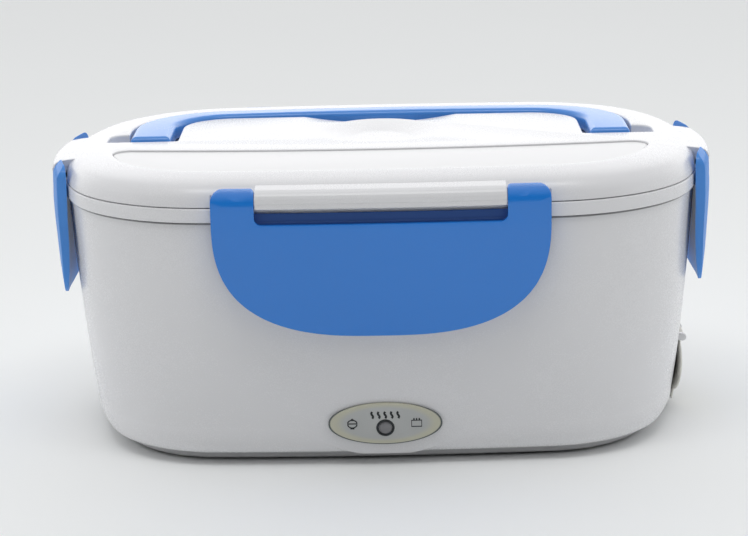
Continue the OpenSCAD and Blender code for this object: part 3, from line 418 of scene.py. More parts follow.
# Rounds the corners of a line of [z, inset] pairs. Each entry may carry its own radius as a third value.
def softLine(points, radius=0.4, steps=4, closed=False):
    done = []
    count = len(points)
    for i, p in enumerate(points):
        here = Vector(p[:2])
        r = p[2] if len(p) > 2 else radius
        if (not closed and i in (0, count - 1)) or r == 0:
            done.append(tuple(here))
            continue
        before, after = Vector(points[i - 1][:2]) - here, Vector(points[(i + 1) % count][:2]) - here
        turn = before.angle(after) if before.length and after.length else math.pi
        if turn > math.radians(177):
            done.append(tuple(here))
            continue
        run = min(r / math.tan(turn / 2), before.length * 0.48, after.length * 0.48)
        r = run * math.tan(turn / 2)
        before, after = before.normalized(), after.normalized()
        middle = here + (before + after).normalized() * (r / math.sin(turn / 2))
        first, second = here + before * run - middle, here + after * run - middle
        side = 1 if first.cross(second) > 0 else -1
        done += sweep(middle, first, side * first.angle(second), steps)
    return done


# A closed outline from corner points with radii, grown by a distance. Convex corners turn left.
def roundedOutline(corners, grow=0.0, steps=8):
    count = len(corners)
    done = []
    moved = []
    for i in range(count):
        a, b, c = (Vector(corners[(i + k) % count][:2]) for k in (-1, 0, 1))
        e1, e2 = (b - a).normalized(), (c - b).normalized()
        n1, n2 = Vector((e1.y, -e1.x)), Vector((e2.y, -e2.x))
        k = grow / (1 + n1.dot(n2))
        moved.append((b + (n1 + n2) * k, e1, e2, corners[i][2], e1.cross(e2) > 0))
    for b, e1, e2, r, convex in moved:
        r = max(0.02, r + grow if convex else r - grow)
        turn = e1.angle(e2)
        side = 1 if convex else -1
        inward = Vector((-e1.y, e1.x)) * side * r
        done += sweep(b - e1 * r * math.tan(turn / 2) + inward, -inward, side * turn, steps)
    return done


def bake(made, modifier):
    graph = bpy.context.evaluated_depsgraph_get()
    mesh = bpy.data.meshes.new_from_object(made.evaluated_get(graph))
    made.modifiers.remove(modifier)
    old = made.data
    made.data = mesh
    bpy.data.meshes.remove(old)


def cut(made, rings):
    cutter = solid("cutter", rings, "shell_white")
    modifier = made.modifiers.new("cut", "BOOLEAN")
    modifier.operation = "DIFFERENCE"
    modifier.solver = "EXACT"
    modifier.object = cutter
    bake(made, modifier)
    bpy.data.objects.remove(cutter, do_unlink=True)


def join(made, others):
    work = bmesh.new()
    work.from_mesh(made.data)
    for o in others:
        work.from_mesh(o.data)
    work.to_mesh(made.data)
    work.free()
    for o in others:
        bpy.data.objects.remove(o, do_unlink=True)


def settle(piece, body, slot, *standsFor):
    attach(piece, body)
    if standsFor:
        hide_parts(*standsFor)


wide = outlineColumns()
fineColumns = outlineColumns(44, 10, 34)

# Outer shell. Two sloping flats are let into its rounded turn: one for the badge and one for the inlet.
shell = {"rim": 87.0, "bottom": 4.2, "crease": 14.5, "step": 1.2, "draft": 0.078, "tuck": 1.4, "turn": 4.7,
         "wall": 2.2, "lipIn": 21.9, "rows": 26, "innerRows": (70, 52, 34, 22, 14.5),
         "rimLine": [(86.6, 1.24), (86.85, 1.34), (87.0, 1.6), (87.0, 2.5), (89.4, 2.55), (89.6, 2.7),
                     (89.6, 3.7), (89.4, 3.85), (86, 3.9)]}
flat = {"half": (24.3, 11.9), "z": 15.6, "power": 2.3, "flare": 5.0, "flareLow": 10.2, "blend": 0.9,
        "near": 33.0}


def wallIn(z):
    rise, down = shell["rim"] - shell["crease"], shell["rim"] - z
    return shell["step"] + shell["draft"] * down + shell["tuck"] * (down / rise) ** 4


creaseIn = wallIn(shell["crease"])
lean = math.atan(shell["draft"] + 4 * shell["tuck"] / (shell["rim"] - shell["crease"]))
flatIn = creaseIn + (shell["crease"] - flat["z"]) * math.tan(lean)


# How far a point of the turn is drawn onto its flat, from 0 to 1.
def flatMask(column, z):
    x, y = at(column, 10)
    atFront, atRight = y < -60 and abs(x) < flat["near"], x > 90 and abs(y) < flat["near"]
    if z > flat["z"] or not (atFront or atRight):
        return 0.0
    across = abs(x) if atFront else abs(y)
    drop = min(1.0, (flat["z"] - z) / flat["half"][1])
    oval = flat["half"][0] * max(0.0, 1 - drop ** flat["power"]) ** (1 / flat["power"])
    up = max(0.0, (z - flat["flareLow"]) / (shell["crease"] - flat["flareLow"]))
    t = min(1.0, max(0.0, (oval + flat["flare"] * up ** 2 - across) / flat["blend"] + 0.5))
    return t * t * (3 - 2 * t)


def makeShell():
    s, rows = shell, shell["rows"]
    outer = []
    for i in range(rows + 1):
        a = math.pi / 2 * (rows - i) / rows
        z = s["bottom"] + (s["crease"] - s["bottom"]) * (1 - math.sin(a))
        outer.append((z, creaseIn + s["turn"] * (1 - math.cos(a))))
    zs = [s["crease"] + (s["rim"] - s["crease"]) * (k / rows) for k in range(1, rows)]
    wall = [(z, wallIn(z)) for z in zs]
    inner = [(z, wallIn(z) + s["wall"]) for z in s["innerRows"]]
    turnIn, inside = creaseIn + s["turn"], s["bottom"] + s["wall"]
    low = [(inside, turnIn + 1), (inside, s["lipIn"]), (s["bottom"], s["lipIn"]), (s["bottom"], turnIn + 0.8)]
    rings = []
    for k, (z, inset) in enumerate(outer + wall + s["rimLine"] + inner + low):
        plane = creaseIn + (s["crease"] - z) * math.tan(lean)
        masks = [flatMask(c, z) if k < len(outer) else 0.0 for c in fineColumns]
        rings.append([(*at(c, inset + (plane - inset) * m), z) for c, m in zip(fineColumns, masks)])
    return solid("shellWall", rings, "shell_white", 50, True)


# A point in the frame of a sloping flat: x is out of the wall, y along it and z up it.
def patchPoint(side, x, y, z):
    turn = -math.pi / 2 if side == "front" else 0.0
    radius = (frontC + plan["frontR"] if side == "front" else sideC + plan["sideR"]) - flatIn
    px, pz = x * math.cos(lean) + z * math.sin(lean), -x * math.sin(lean) + z * math.cos(lean)
    return (*turned(px + radius, y, turn), pz + flat["z"])


def patchRings(side, layers):
    return [[patchPoint(side, x, a, b) for a, b in points] for x, points in layers]


# The inlet's soft cover: a thin oval sheet with a pull tab below, on a barrel between two ears.
flap = {"axis": (1.4, 11.3), "half": (20.0, 9.2), "low": 0.62, "high": 1.3, "tab": (8.8, 12.0), "strap": 5.6,
        "barrel": 0.95, "barrelHalf": 5.7, "pin": 1.0, "pinEnd": 8.0,
        "ear": 1.35, "earFrom": 6.0, "earTo": 8.4, "earRoot": -1.5}
socket = {"size": (19.2, 12.8), "reach": (-9.0, 2.0)}


def makeFlap():
    f = flap
    outline = []
    for x, z in ovalPoints(*f["half"], 160):
        if z > 0 and abs(x) < f["strap"]:
            z = f["axis"][1]
        if z < 0 and abs(x) < f["tab"][0]:
            z = -f["tab"][1]
        outline.append((x, z))
    low, high = f["low"], f["high"]
    levels = [(low, 0.985), (low + 0.12, 1.0), (high - 0.25, 1.0), (high - 0.07, 0.99), (high, 0.97)]
    layers = [(out, [(x * k, z * k) for x, z in outline]) for out, k in levels]
    made = solid("inletFlap", patchRings("right", layers), "flap_silicone", 40)
    half = [(f["barrelHalf"], f["barrel"]), (f["barrelHalf"] + 0.05, f["pin"]), (f["pinEnd"], f["pin"]),
            (f["pinEnd"] + 0.2, f["pin"] - 0.2)]
    rings = []
    for y, r in [(-y, r) for y, r in reversed(half)] + half:
        circle = ovalPoints(r, r, 18)
        rings.append([patchPoint("right", f["axis"][0] + u, y, f["axis"][1] + v) for u, v in circle])
    join(made, [solid("barrel", rings, "flap_silicone", 40)])
    settle(made, "inlet_cover", "flap_silicone", "inlet_cover")


def makeEar(s):
    start, end = flap["earFrom"], flap["earTo"]
    rings = []
    for y, k in ((start, 0.8), (start + 0.25, 1.0), (end - 0.25, 1.0), (end, 0.8)):
        r = flap["ear"] * k
        ring = [patchPoint("right", x, s * y, z) for x, z in arcPoints(*flap["axis"], r, r, -90, 90, 15)]
        ring += [patchPoint("right", flap["earRoot"], s * y, flap["axis"][1] + r * e) for e in (1, -1)]
        rings.append(ring)
    return solid("ear", rings, "shell_white")


def makeShellPiece():
    made = makeShell()
    ears = [makeEar(s) for s in (-1, 1)]
    w, h = socket["size"]
    right = arcPoints((w - h) / 2, 0.0, h / 2, h / 2, -90, 90)
    slot = right + [(-a, -b) for a, b in right]
    cut(made, patchRings("right", [(out, slot) for out in socket["reach"]]))
    dress(made, "shell_white", 50)
    join(made, ears)
    settle(made, "heated_base", "shell_white", "outer_shell")


makeShellPiece()
makeFlap()
print("shell made")

# The liner tub. Its flange is the band between the two seams.
liner = {"floor": 34.0, "seam": 92.1, "bandLow": 87.3, "topIn": 7.2, "floorIn": 13.6, "wall": 1.8,
         "flange": 90.1, "flangeIn": 2.2, "bandEdge": 0.55, "well": (66, 33, 10)}


def linerIn(z):
    share = (liner["seam"] - z) / (liner["seam"] - liner["floor"])
    return liner["topIn"] + (liner["floorIn"] - liner["topIn"]) * share


def makeLiner():
    n = liner
    floor, top, low, flange = n["floor"], n["seam"], n["bandLow"], n["flange"]
    profile = softLine([(floor - 2, n["floorIn"] + 1), (floor, linerIn(floor) - n["wall"]),
                        (flange, linerIn(flange) - 0.8), (flange, n["flangeIn"]), (low, n["flangeIn"], 0.2),
                        (low, 0.0, n["bandEdge"]), (top, 0.0, n["bandEdge"]), (top, n["topIn"], 0.6),
                        (floor + 2, linerIn(floor + 2), 1.5), (floor, n["floorIn"] + 2)])
    made = loft("linerTub", profile, "shell_white", wide)
    w, d, r = n["well"]
    hole = roundedOutline([(a * w, b * d, r) for a, b in square])
    cut(made, [atHeight(hole, z) for z in (floor - 4, floor + 2)])
    dress(made, "shell_white")
    settle(made, "heated_base", "shell_white", "liner_tub")


makeLiner()

# The lid, with the handle's channel, the front compartment and the finger scoop.
lid = {"top": 101.7, "channelFloor": 96.2, "round": 0.7, "trayFloor": 95.1, "shelf": 99.4, "trayIn": 16.2,
       "trayCorner": 6.0, "shelfWidth": 1.6, "wellCorner": 5.6, "bow": 672.0, "bowY": 26.0,
       "under": [(92.9, 10.2), (98.6, 10.0), (98.3, 7.0), (96.4, 4.6), (92.4, 3.9), (92.4, 0.7), (92.47, 0.42)],
       "side": [(92.65, 0.28), (94.6, 0.7), (96.6, 1.5), (98.3, 2.9), (99.5, 4.6), (100.4, 7.4), (101.1, 11.0),
                (101.6, 14.4), (101.7, 15.9)]}
inner = [(97.6, -4.6, 1.2), (72.4, -4.6, 1.5), (72.4, 40.4, 18)]
outer = [(97.6, 9.8, 6.5), (90.8, 9.8, 0.3), (90.8, 53.8, 35.2)]
channel = [(-x, y, r) for x, y, r in inner] + inner[::-1] + outer + [(-x, y, r) for x, y, r in outer[::-1]]
bend = {"rise": 2.0, "half": 55.0, "channelFrom": 46.0, "handleFrom": 36.0}
# Each oval of the scoop is its half width, its reach to the back and to the front, and its middle.
scoop = {"outer": (23.0, 28.3, 18.0, 5.0), "floor": (11.7, 17.0, 9.0, 1.0), "deep": 2.0, "backHalf": 28.5,
         "backDeep": 2.7, "backY": 40.4, "crest": 27.0, "lift": 0.02, "lip": 0.15}


def chaikin(points):
    for _ in range(3):
        out = [points[0]]
        for a, b in zip(points, points[1:]):
            out.append((a[0] * 0.75 + b[0] * 0.25, a[1] * 0.75 + b[1] * 0.25))
            out.append((a[0] * 0.25 + b[0] * 0.75, a[1] * 0.25 + b[1] * 0.75))
        points = out + [points[-1]]
    return points


# The front compartment's outline as tangent arcs: grown exactly by changing their radii.
def trayOutline(inset, back, corner, grow=0.0):
    frontR, sideR, cornerR = (plan[key] - inset for key in ("frontR", "sideR", "cornerR"))
    bowR = lid["bow"]
    bowC = Vector((0.0, bowR - lid["bowY"] + back))
    sideAt = Vector((sideC, 0.0))
    gap = (bowC - sideAt).length
    a, b = sideR - corner, bowR + corner
    along = (a * a - b * b + gap * gap) / (2 * gap)
    toward = (bowC - sideAt) / gap
    middle = sideAt + toward * along + Vector((toward.y, -toward.x)) * math.sqrt(a * a - along * along)
    onSide = math.atan2(middle.y, middle.x - sideC)
    onBow = math.atan2(middle.y - bowC.y, middle.x)
    arcs = [((0.0, -frontC), frontR + grow, -math.pi / 2, -frontTurn),
            ((cornerC.x, -cornerC.y), cornerR + grow, -frontTurn, -sideTurn),
            ((sideC, 0.0), sideR + grow, -sideTurn, onSide),
            (tuple(middle), corner + grow, onSide, onBow + math.pi),
            (tuple(bowC), bowR - grow, onBow, -math.pi / 2)]
    half = []
    for (cx, cy), r, a0, a1 in arcs:
        half += arcPoints(cx, cy, r, r, math.degrees(a0), math.degrees(a1), 24)[:-1]
    rear = (0.0, bowC.y - (bowR - grow))
    return half + [rear] + [(-x, y) for x, y in reversed(half[1:])]


# Rings of an opening in the lid's top whose edge rolls over by a radius.
def openingRings(shape, floor, roll, base):
    top = lid["top"] + 0.015
    rings = [atHeight(shape(-base), floor), atHeight(shape(-base * 0.3), floor + base * 0.3),
             atHeight(shape(0), floor + base)]
    for k in range(6):
        a = math.pi / 2 * k / 5
        rings.append(atHeight(shape(roll * (1 - math.cos(a))), top - roll + roll * math.sin(a)))
    return rings + [atHeight(shape(roll), top + 3)]


# The finger scoop: a shallow dish with a flat floor, and a slope behind it that runs down to the channel.
def scoopOval(sizes, a):
    half, back, front, middle = sizes
    return half * math.cos(a), middle + (back if math.sin(a) > 0 else front) * math.sin(a)


def dishRings():
    middle, rings = scoop["floor"][3], []
    for k in range(1, 20):
        f = (k - 5) / 13
        rise = max(0.0, f) * (1 + scoop["lip"] * (1 - max(0.0, min(1.0, f))))
        z = lid["top"] + scoop["lift"] - scoop["deep"] * (1 - rise)
        ring = []
        for i in range(120):
            a = 2 * math.pi * i / 120
            low, high = scoopOval(scoop["floor"], a), scoopOval(scoop["outer"], a)
            if f < 0:
                ring.append((low[0] * k / 5, middle + (low[1] - middle) * k / 5, z))
            else:
                ring.append((low[0] + (high[0] - low[0]) * f, low[1] + (high[1] - low[1]) * f, z))
        rings.append(ring)
    return rings + [[(x, y, lid["top"] + 3) for x, y, z in rings[-1]]]


def slopeRings():
    half, far, top = scoop["backHalf"], scoop["backY"], lid["top"]
    across, reach, _, middle = scoop["outer"]
    rows = []
    for i in range(61):
        x = half * (2 * i / 60 - 1)
        crest = max(scoop["crest"], middle + reach * math.sqrt(max(0.0, 1 - (x / across) ** 2)))
        deep = scoop["backDeep"] * (1 - (x / half) ** 2)
        ys = [crest + (far + 3 - crest) * k / 8 for k in range(9)]
        line = [(x, y, top + scoop["lift"] - deep * (y - crest) / (far - crest)) for y in ys]
        rows.append(line + [(x, far + 3, top + 3), (x, crest, top + 3)])
    return rows


# Gives the straight back runs of an outline their slight bow.
def bowed(points, low):
    done = []
    for i, (x0, y0) in enumerate(points):
        x1, y1 = points[(i + 1) % len(points)]
        parts = 20 if y0 > low and y1 > low and abs(x1 - x0) > 40 else 1
        done += [(x0 + (x1 - x0) * k / parts, y0 + (y1 - y0) * k / parts) for k in range(parts)]
    return [(x, y + bend["rise"] * max(0.0, 1 - (x / bend["half"]) ** 2)) if y > low else (x, y) for x, y in done]


def makeLid():
    made = loft("lidCover", lid["under"] + chaikin(lid["side"]), "lid_white", outlineColumns(8, 6, 24))
    shelfWidth, floor, shelf = lid["shelfWidth"], lid["trayFloor"], lid["shelf"]
    well = []
    for z, w in ((floor, -0.5), (floor + 0.5, 0.0), (shelf + 0.3, 0.0)):
        well.append(atHeight(trayOutline(lid["trayIn"] + shelfWidth, -shelfWidth, lid["wellCorner"], w), z))
    groove = openingRings(lambda w: bowed(roundedOutline(channel, w, 10), bend["channelFrom"]),
                          lid["channelFloor"], lid["round"], 0.6)
    tray = openingRings(lambda w: trayOutline(lid["trayIn"], 0.0, lid["trayCorner"], w), shelf, 0.5, 0.1)
    for rings in (groove, tray, well, dishRings(), slopeRings()):
        cut(made, rings)
    dress(made, "lid_white", 30)
    return made


clip = {"front": {"half": 56.0, "notch": 41.7, "strips": 28}, "side": {"half": 35.0, "notch": 20.7, "strips": 22},
        "foot": 48.5, "top": 99.1, "notchZ": 87.1, "axisZ": 95.5, "edge": 1.15, "shoulder": 6.4,
        "power": 2 / 2.75, "depth": 4.2, "rows": 26, "hornR": 4.2, "innerR": 1.2, "notchR": 2.4}
ledge = {"front": 41.4, "side": 20.4, "middle": (0.5, 96.0), "ends": [(0.0, 0.93), (0.12, 0.975), (0.4, 1.0)],
         "line": [(-1.2, 92.42, 0), (3.86, 92.42, 0.35), (3.86, 94.2, 0.05), (3.99, 94.34, 0.05),
                  (3.99, 95.8, 1.2), (3.5, 97.0, 1.6), (2.5, 97.9, 2.0), (1.0, 98.5, 2.0), (-1.0, 98.8, 1.0),
                  (-5.0, 99.25, 0), (-4.0, 97.8, 0), (-1.2, 96.2, 0)]}
hinge = {"front": 79.9116, "side": 113.2933, "frontMid": 48.85, "sideMid": 27.85, "half": 7.45, "room": 4.15}
sides = {"front": -math.pi / 2, "rear": math.pi / 2, "left": math.pi, "right": 0.0}


def kindOf(side):
    return "front" if side in ("front", "rear") else "side"


# A point on one side: how far out of the rim, how far along it, and how high.
def sidePoint(side, out, y, z):
    kind = kindOf(side)
    x = math.sqrt((plan[kind + "R"] + out) ** 2 - y * y) + (frontC if kind == "front" else sideC)
    return (*turned(x, y, sides[side]), z)


def makeLedge(side):
    hw = ledge[kindOf(side)]
    line = softLine(ledge["line"], 0.3, 4, True)
    mx, mz = ledge["middle"]
    cuts = [(d - hw, k) for d, k in ledge["ends"]] + [(hw * (2 * i / 30 - 1), 1.0) for i in range(1, 30)]
    cuts += [(hw - d, k) for d, k in reversed(ledge["ends"])]
    rings = [[sidePoint(side, mx + (o - mx) * k, y, mz + (z - mz) * k) for o, z in line] for y, k in cuts]
    return solid("ledge", rings, "lid_white", 30)


# Each horn turns in a round hollow in the lid's side.
def cutHornRoom(made):
    circle = ovalPoints(hinge["room"], hinge["room"], 45)
    for side, a in sides.items():
        kind = kindOf(side)
        for s in (-1, 1):
            ys = [s * hinge[kind + "Mid"] + end * hinge["half"] for end in (-1, 1)]
            cut(made, [[(*turned(hinge[kind] + u, y, a), clip["axisZ"] + v) for u, v in circle] for y in ys])
    dress(made, "lid_white", 30)


lidPiece = makeLid()
cutHornRoom(lidPiece)
join(lidPiece, [makeLedge(side) for side in sides])
settle(lidPiece, "lid", "lid_white", "lid_cover")
print("lid made")


# A clip is a flat tongue with rolled edges that is cut into strips and bent round its side.
def clipOutline(hw, nw):
    c, z0 = clip, clip["axisZ"] - clip["shoulder"]
    half = []
    for i in range(1, 41):
        a = math.pi / 2 * i / 40
        half.append((hw * math.sin(a) ** c["power"], z0 - (z0 - c["foot"]) * math.cos(a) ** c["power"]))
    upper = roundedOutline([(hw, z0 - 3, 0.02), (hw, c["top"], c["hornR"]), (nw, c["top"], c["innerR"]),
                            (nw, c["notchZ"], c["notchR"]), (0, c["notchZ"], 0.02)], 0, 6)
    upper = [p for p in upper if p[1] > z0 + 0.5 or (p[0] < hw - 1 and p[1] >= c["notchZ"] - 0.01)]
    return half + [p for p in upper if p[0] > 0.5]


# Each entry is a height and how far the face stands out of the rim there.
outerFace = [(48.5, 0.9), (48.9, 1.2), (50.5, 1.55), (56.0, 2.2), (62.0, 2.8), (68.0, 3.2), (79.0, 3.88),
             (85.0, 4.08), (93.0, 3.95), (95.2, 3.8), (96.3, 3.3), (97.4, 2.5), (98.4, 1.65), (99.1, 1.05)]
innerFace = [(48.5, 0.55), (50.3, 0.4), (60.0, 0.46), (70.0, 0.62), (80.0, 0.9), (92.0, 0.8), (99.1, 0.75)]
# The web is a thin plate behind each notch, coloured darker than the clip blue as painted shade under the ledge.
webLine = [(0.8, 85.4, 0), (2.0, 85.4, 0), (2.0, 87.6, 0.5), (1.6, 88.2, 0.5), (1.6, 90.8, 0.3), (0.8, 90.8, 0.3)]


def along(table, z):
    z = min(max(z, table[0][0]), table[-1][0])
    for (z0, v0), (z1, v1) in zip(table, table[1:]):
        if z <= z1:
            return v0 + (v1 - v0) * (z - z0) / (z1 - z0)


def slicePlane(work, place, normal):
    everything = work.verts[:] + work.edges[:] + work.faces[:]
    bmesh.ops.bisect_plane(work, geom=everything, plane_co=place, plane_no=normal)


def makeClip(side):
    c, sizes = clip, clip[kindOf(side)]
    half = clipOutline(sizes["half"], sizes["notch"])
    work = bmesh.new()
    face = work.faces.new([work.verts.new((x, 0.0, z)) for x, z in half + [(-x, z) for x, z in reversed(half)]])
    grown = bmesh.ops.extrude_face_region(work, geom=[face])
    for v in (g for g in grown["geom"] if isinstance(g, bmesh.types.BMVert)):
        v.co.y = c["depth"]
    bmesh.ops.recalc_face_normals(work, faces=work.faces)
    rims = [e for e in work.edges if abs(e.verts[0].co.y - e.verts[1].co.y) < 1e-6]
    bmesh.ops.bevel(work, geom=rims, offset=c["edge"], segments=4, profile=0.5, affect="EDGES", clamp_overlap=True)
    bmesh.ops.triangulate(work, faces=[f for f in work.faces if len(f.verts) > 4])
    for k in range(1, c["rows"]):
        slicePlane(work, (0, 0, c["foot"] + (c["top"] - c["foot"]) * k / c["rows"]), (0, 0, 1))
    for k in range(1, sizes["strips"]):
        slicePlane(work, (sizes["half"] * (2 * k / sizes["strips"] - 1), 0, 0), (1, 0, 0))
    for v in work.verts:
        x, depth, z = v.co
        low, high = along(innerFace, z), along(outerFace, z)
        v.co = sidePoint(side, low + (high - low) * depth / c["depth"], x, z)
    mesh = bpy.data.meshes.new("clip")
    work.to_mesh(mesh)
    work.free()
    name = "clip" + side.capitalize()
    # Side clips take the lighter copy of the blue: painted light.
    made = finishMesh(name, mesh, "clip_blue" if kindOf(side) == "front" else "side_lit_blue", 40)
    reach = sizes["notch"] + 0.4
    line = softLine(webLine, 0.2, 3, True)
    rings = [[sidePoint(side, o, reach * (2 * k / 24 - 1), z) for o, z in line] for k in range(25)]
    settle(solid(name + "Web", rings, "web_blue", 40), "clip_" + side, "clip_blue")
    settle(made, "clip_" + side, "clip_blue", "clip_" + side)


for side in sides:
    makeClip(side)
print("clips made")

# The carry handle lies flat in its channel. Each pin's line is a place along its axis and a radius.
handle = {"half": 89.6, "strap": 14.4, "front": -1.3, "back": 52.6, "bar": 10.0, "outerR": 34.0, "innerR": 21.0,
          "endR": 1.2, "low": 97.0, "top": 102.7, "roll": 2.0, "pinAt": (0.8, 98.6),
          "pinLine": [(70.0, 1.3), (70.3, 1.6), (76.2, 1.6)]}


def makeHandle():
    h, endR = handle, handle["endR"]
    out, inside, front, back = h["half"], h["half"] - h["strap"], h["front"], h["back"]
    shape = [(-out, front, endR), (-inside, front, endR), (-inside, back - h["bar"], h["innerR"]),
             (inside, back - h["bar"], h["innerR"]), (inside, front, endR), (out, front, endR),
             (out, back, h["outerR"]), (-out, back, h["outerR"])]
    levels = [(h["low"], -0.6), (h["low"] + 0.18, -0.18), (h["low"] + 0.6, 0.0)]
    for k in range(7):
        a = math.pi / 2 * k / 6
        levels.append((h["top"] - h["roll"] + h["roll"] * math.sin(a), -h["roll"] * (1 - math.cos(a))))
    rings = [atHeight(bowed(roundedOutline(shape, w, 14), bend["handleFrom"]), z) for z, w in levels]
    made = solid("carryHandle", rings, "handle_blue", 35)
    pins = []
    py, pz = h["pinAt"]
    for s in (-1, 1):
        rings = [[(s * x, py + u, pz + v) for u, v in ovalPoints(r, r, 24)] for x, r in h["pinLine"]]
        pins.append(solid("pin", rings, "handle_blue"))
    join(made, pins)
    settle(made, "handle", "handle_blue", "handle")


makeHandle()

# The cutlery cover: a thin plate in the front compartment. Each level is a height and how far it grows.
cover = {"in": 16.6, "back": -0.6, "corner": 5.6,
         "levels": [(99.6, -0.3), (99.7, -0.1), (99.9, 0.0), (100.8, 0.0), (101.05, -0.08), (101.17, -0.25),
                    (101.2, -0.5)]}


def makeCover():
    rings = [atHeight(trayOutline(cover["in"], cover["back"], cover["corner"], w), z) for z, w in cover["levels"]]
    settle(solid("cutleryCover", rings, "cover_white", 35), "cutlery_cover", "cover_white", "cutlery_cover")


makeCover()
print("handle and cover made")

# The badge with its lens and signs. Each line of the lamp is a radius and how far it stands out.
badge = {"half": (19.3, 7.7), "proud": 0.3, "thick": 0.8, "crown": 0.12, "lensDrop": 1.4,
         "steps": (0.997, 0.985, 0.96, 0.9, 0.8, 0.65, 0.5, 0.35, 0.2, 0.08),
         "lens": [(2.3, 0.6), (2.3, 1.0), (2.2, 1.12), (1.95, 1.3), (1.5, 1.45), (0.9, 1.55), (0.3, 1.6)],
         "bezel": [(2.25, 1.0), (2.3, 1.28), (2.5, 1.36), (2.9, 1.36), (3.1, 1.24), (3.15, 1.0)]}


def badgeTop(a, b):
    reach = (a / badge["half"][0]) ** 2 + (b / badge["half"][1]) ** 2
    return badge["proud"] + badge["thick"] - badge["crown"] * min(1.0, reach)


def makeBadge():
    hw, hh = badge["half"]
    rim = ovalPoints(hw, hh)
    layers = patchRings("front", [(0.05, rim), (badge["proud"] + badge["thick"] - 0.35, rim)])
    for k in badge["steps"]:
        drop = 0.0 if k < 0.985 else (k - 0.985) / 0.015 * 0.18
        layers.append([patchPoint("front", badgeTop(a, b) - drop, a, b) for a, b in ovalPoints(hw * k, hh * k)])
    settle(solid("badgePlate", layers, "badge_silver", 40), "heated_base", "badge_silver", "badge_plate")


def lampRings(line):
    return patchRings("front", [(x, [(a, b - badge["lensDrop"]) for a, b in ovalPoints(r, r, 36)]) for r, x in line])


def makeLens():
    lens = solid("lampLens", lampRings(badge["lens"]), "lens_grey", 50)
    settle(lens, "heated_base", "lens_grey", "indicator_lens")
    bezel = solid("lampBezel", lampRings(badge["bezel"]), "badge_ink", 50, True)
    settle(bezel, "heated_base", "inlet_black")


# A printed stroke: a thin ribbon that lies on the badge.
def stroke(points, width=0.42, closed=False):
    count = len(points)
    left, right = [], []
    for i, (a, b) in enumerate(points):
        before = points[i - 1] if closed or i else points[i]
        after = points[(i + 1) % count] if closed or i < count - 1 else points[i]
        run = Vector((after[0] - before[0], after[1] - before[1])).normalized()
        side = Vector((-run.y, run.x)) * width / 2
        left.append((a + side.x, b + side.y))
        right.append((a - side.x, b - side.y))
    verts = []
    for lift in (0.01, 0.045):
        verts += [patchPoint("front", badgeTop(a, b) + lift, a, b) for a, b in left + right]
    faces = []
    for i in range(count if closed else count - 1):
        k = (i + 1) % count
        for p, q in ((0, 1), (1, 3), (3, 2), (2, 0)):
            faces.append((p * count + i, p * count + k, q * count + k, q * count + i))
    if not closed:
        for e in (0, count - 1):
            faces.append((e, count + e, 3 * count + e, 2 * count + e))
    return finishMesh("sign", rawMesh("sign", verts, faces), "badge_ink", 40)


# Warm air above the lamp.
def wave(x):
    return [(x + 0.28 * math.sin(2 * math.pi * i / 14), 2.1 + 2.5 * i / 14) for i in range(15)]


def makeSigns():
    parts = [stroke(wave(-4.4 + 2.2 * i), 0.75) for i in range(5)]
    x = -11.2  # a covered bowl
    parts += [stroke(arcPoints(x, 0.2, 1.6, 1.5, 190, 350)), stroke(arcPoints(x, 0.3, 1.6, 1.3, 10, 170)),
              stroke([(x - 1.75, 0.25), (x + 1.75, 0.25)]), stroke([(x - 0.7, -1.55), (x + 0.7, -1.55)], 0.5),
              stroke(arcPoints(x, 1.75, 0.3, 0.3, 0, 360), 0.3)]
    x = 10.6  # a box with a plug's pins
    parts.append(stroke([(x - 1.7, -1.1), (x + 1.7, -1.1), (x + 1.7, 1.2), (x - 1.7, 1.2)], 0.42, True))
    parts += [stroke([(x + d, 1.2), (x + d, 2.0)], 0.5) for d in (-0.9, 0.0, 0.9)]
    first = parts[0]
    first.name = "badgeSigns"
    join(first, parts[1:])
    settle(first, "heated_base", "inlet_black")


makeBadge()
makeLens()
makeSigns()
print("badge made")


# Feet and screws: one is shaped here, and a node tree sets it at the corners of a rectangle.
def cornerTree():
    tree = bpy.data.node_groups.new("atCorners", "GeometryNodeTree")
    for title, way, kind in (("Geometry", "INPUT", "Geometry"), ("Width", "INPUT", "Float"),
                             ("Depth", "INPUT", "Float"), ("Material", "INPUT", "Material"),
                             ("Geometry", "OUTPUT", "Geometry")):
        tree.interface.new_socket(title, in_out=way, socket_type="NodeSocket" + kind)
    first, last = tree.nodes.new("NodeGroupInput"), tree.nodes.new("NodeGroupOutput")
    grid, spread, real, paint = (tree.nodes.new("GeometryNode" + kind) for kind in (
        "MeshGrid", "InstanceOnPoints", "RealizeInstances", "SetMaterial"))
    for title in ("Vertices X", "Vertices Y"):
        grid.inputs[title].default_value = 2
    for start, out, end, into in (
            (first, "Width", grid, "Size X"), (first, "Depth", grid, "Size Y"), (grid, "Mesh", spread, "Points"),
            (first, "Geometry", spread, "Instance"), (spread, "Instances", real, "Geometry"),
            (real, "Geometry", paint, "Geometry"), (first, "Material", paint, "Material"),
            (paint, "Geometry", last, "Geometry")):
        tree.links.new(start.outputs[out], end.inputs[into])
    return tree


corners = cornerTree()


def setAtCorners(made, place, finish):
    values = {"Width": 2 * place[0] * mm, "Depth": 2 * place[1] * mm, "Material": finishes[finish]}
    modifier = made.modifiers.new("corners", "NODES")
    modifier.node_group = corners
    for item in corners.interface.items_tree:
        if item.in_out == "INPUT" and item.name in values:
            modifier[item.identifier] = values[item.name]
    bake(made, modifier)


def lathe(name, profile, finish, steps=48, sharp=38):
    return solid(name, [atHeight(ovalPoints(r, r, steps), z) for r, z in profile], finish, sharp)


foot = {"at": (67.8, 50.05), "radius": 6.0, "height": 1.55, "edge": 0.35, "hollow": 3.2}
screw = {"at": (77.69, 46.06), "head": 2.9, "shank": 1.45, "low": 1.3, "thick": 1.3, "tip": 13.0,
         "pitch": 0.6, "groove": 0.22, "cross": (3.2, 0.8, 1.4)}


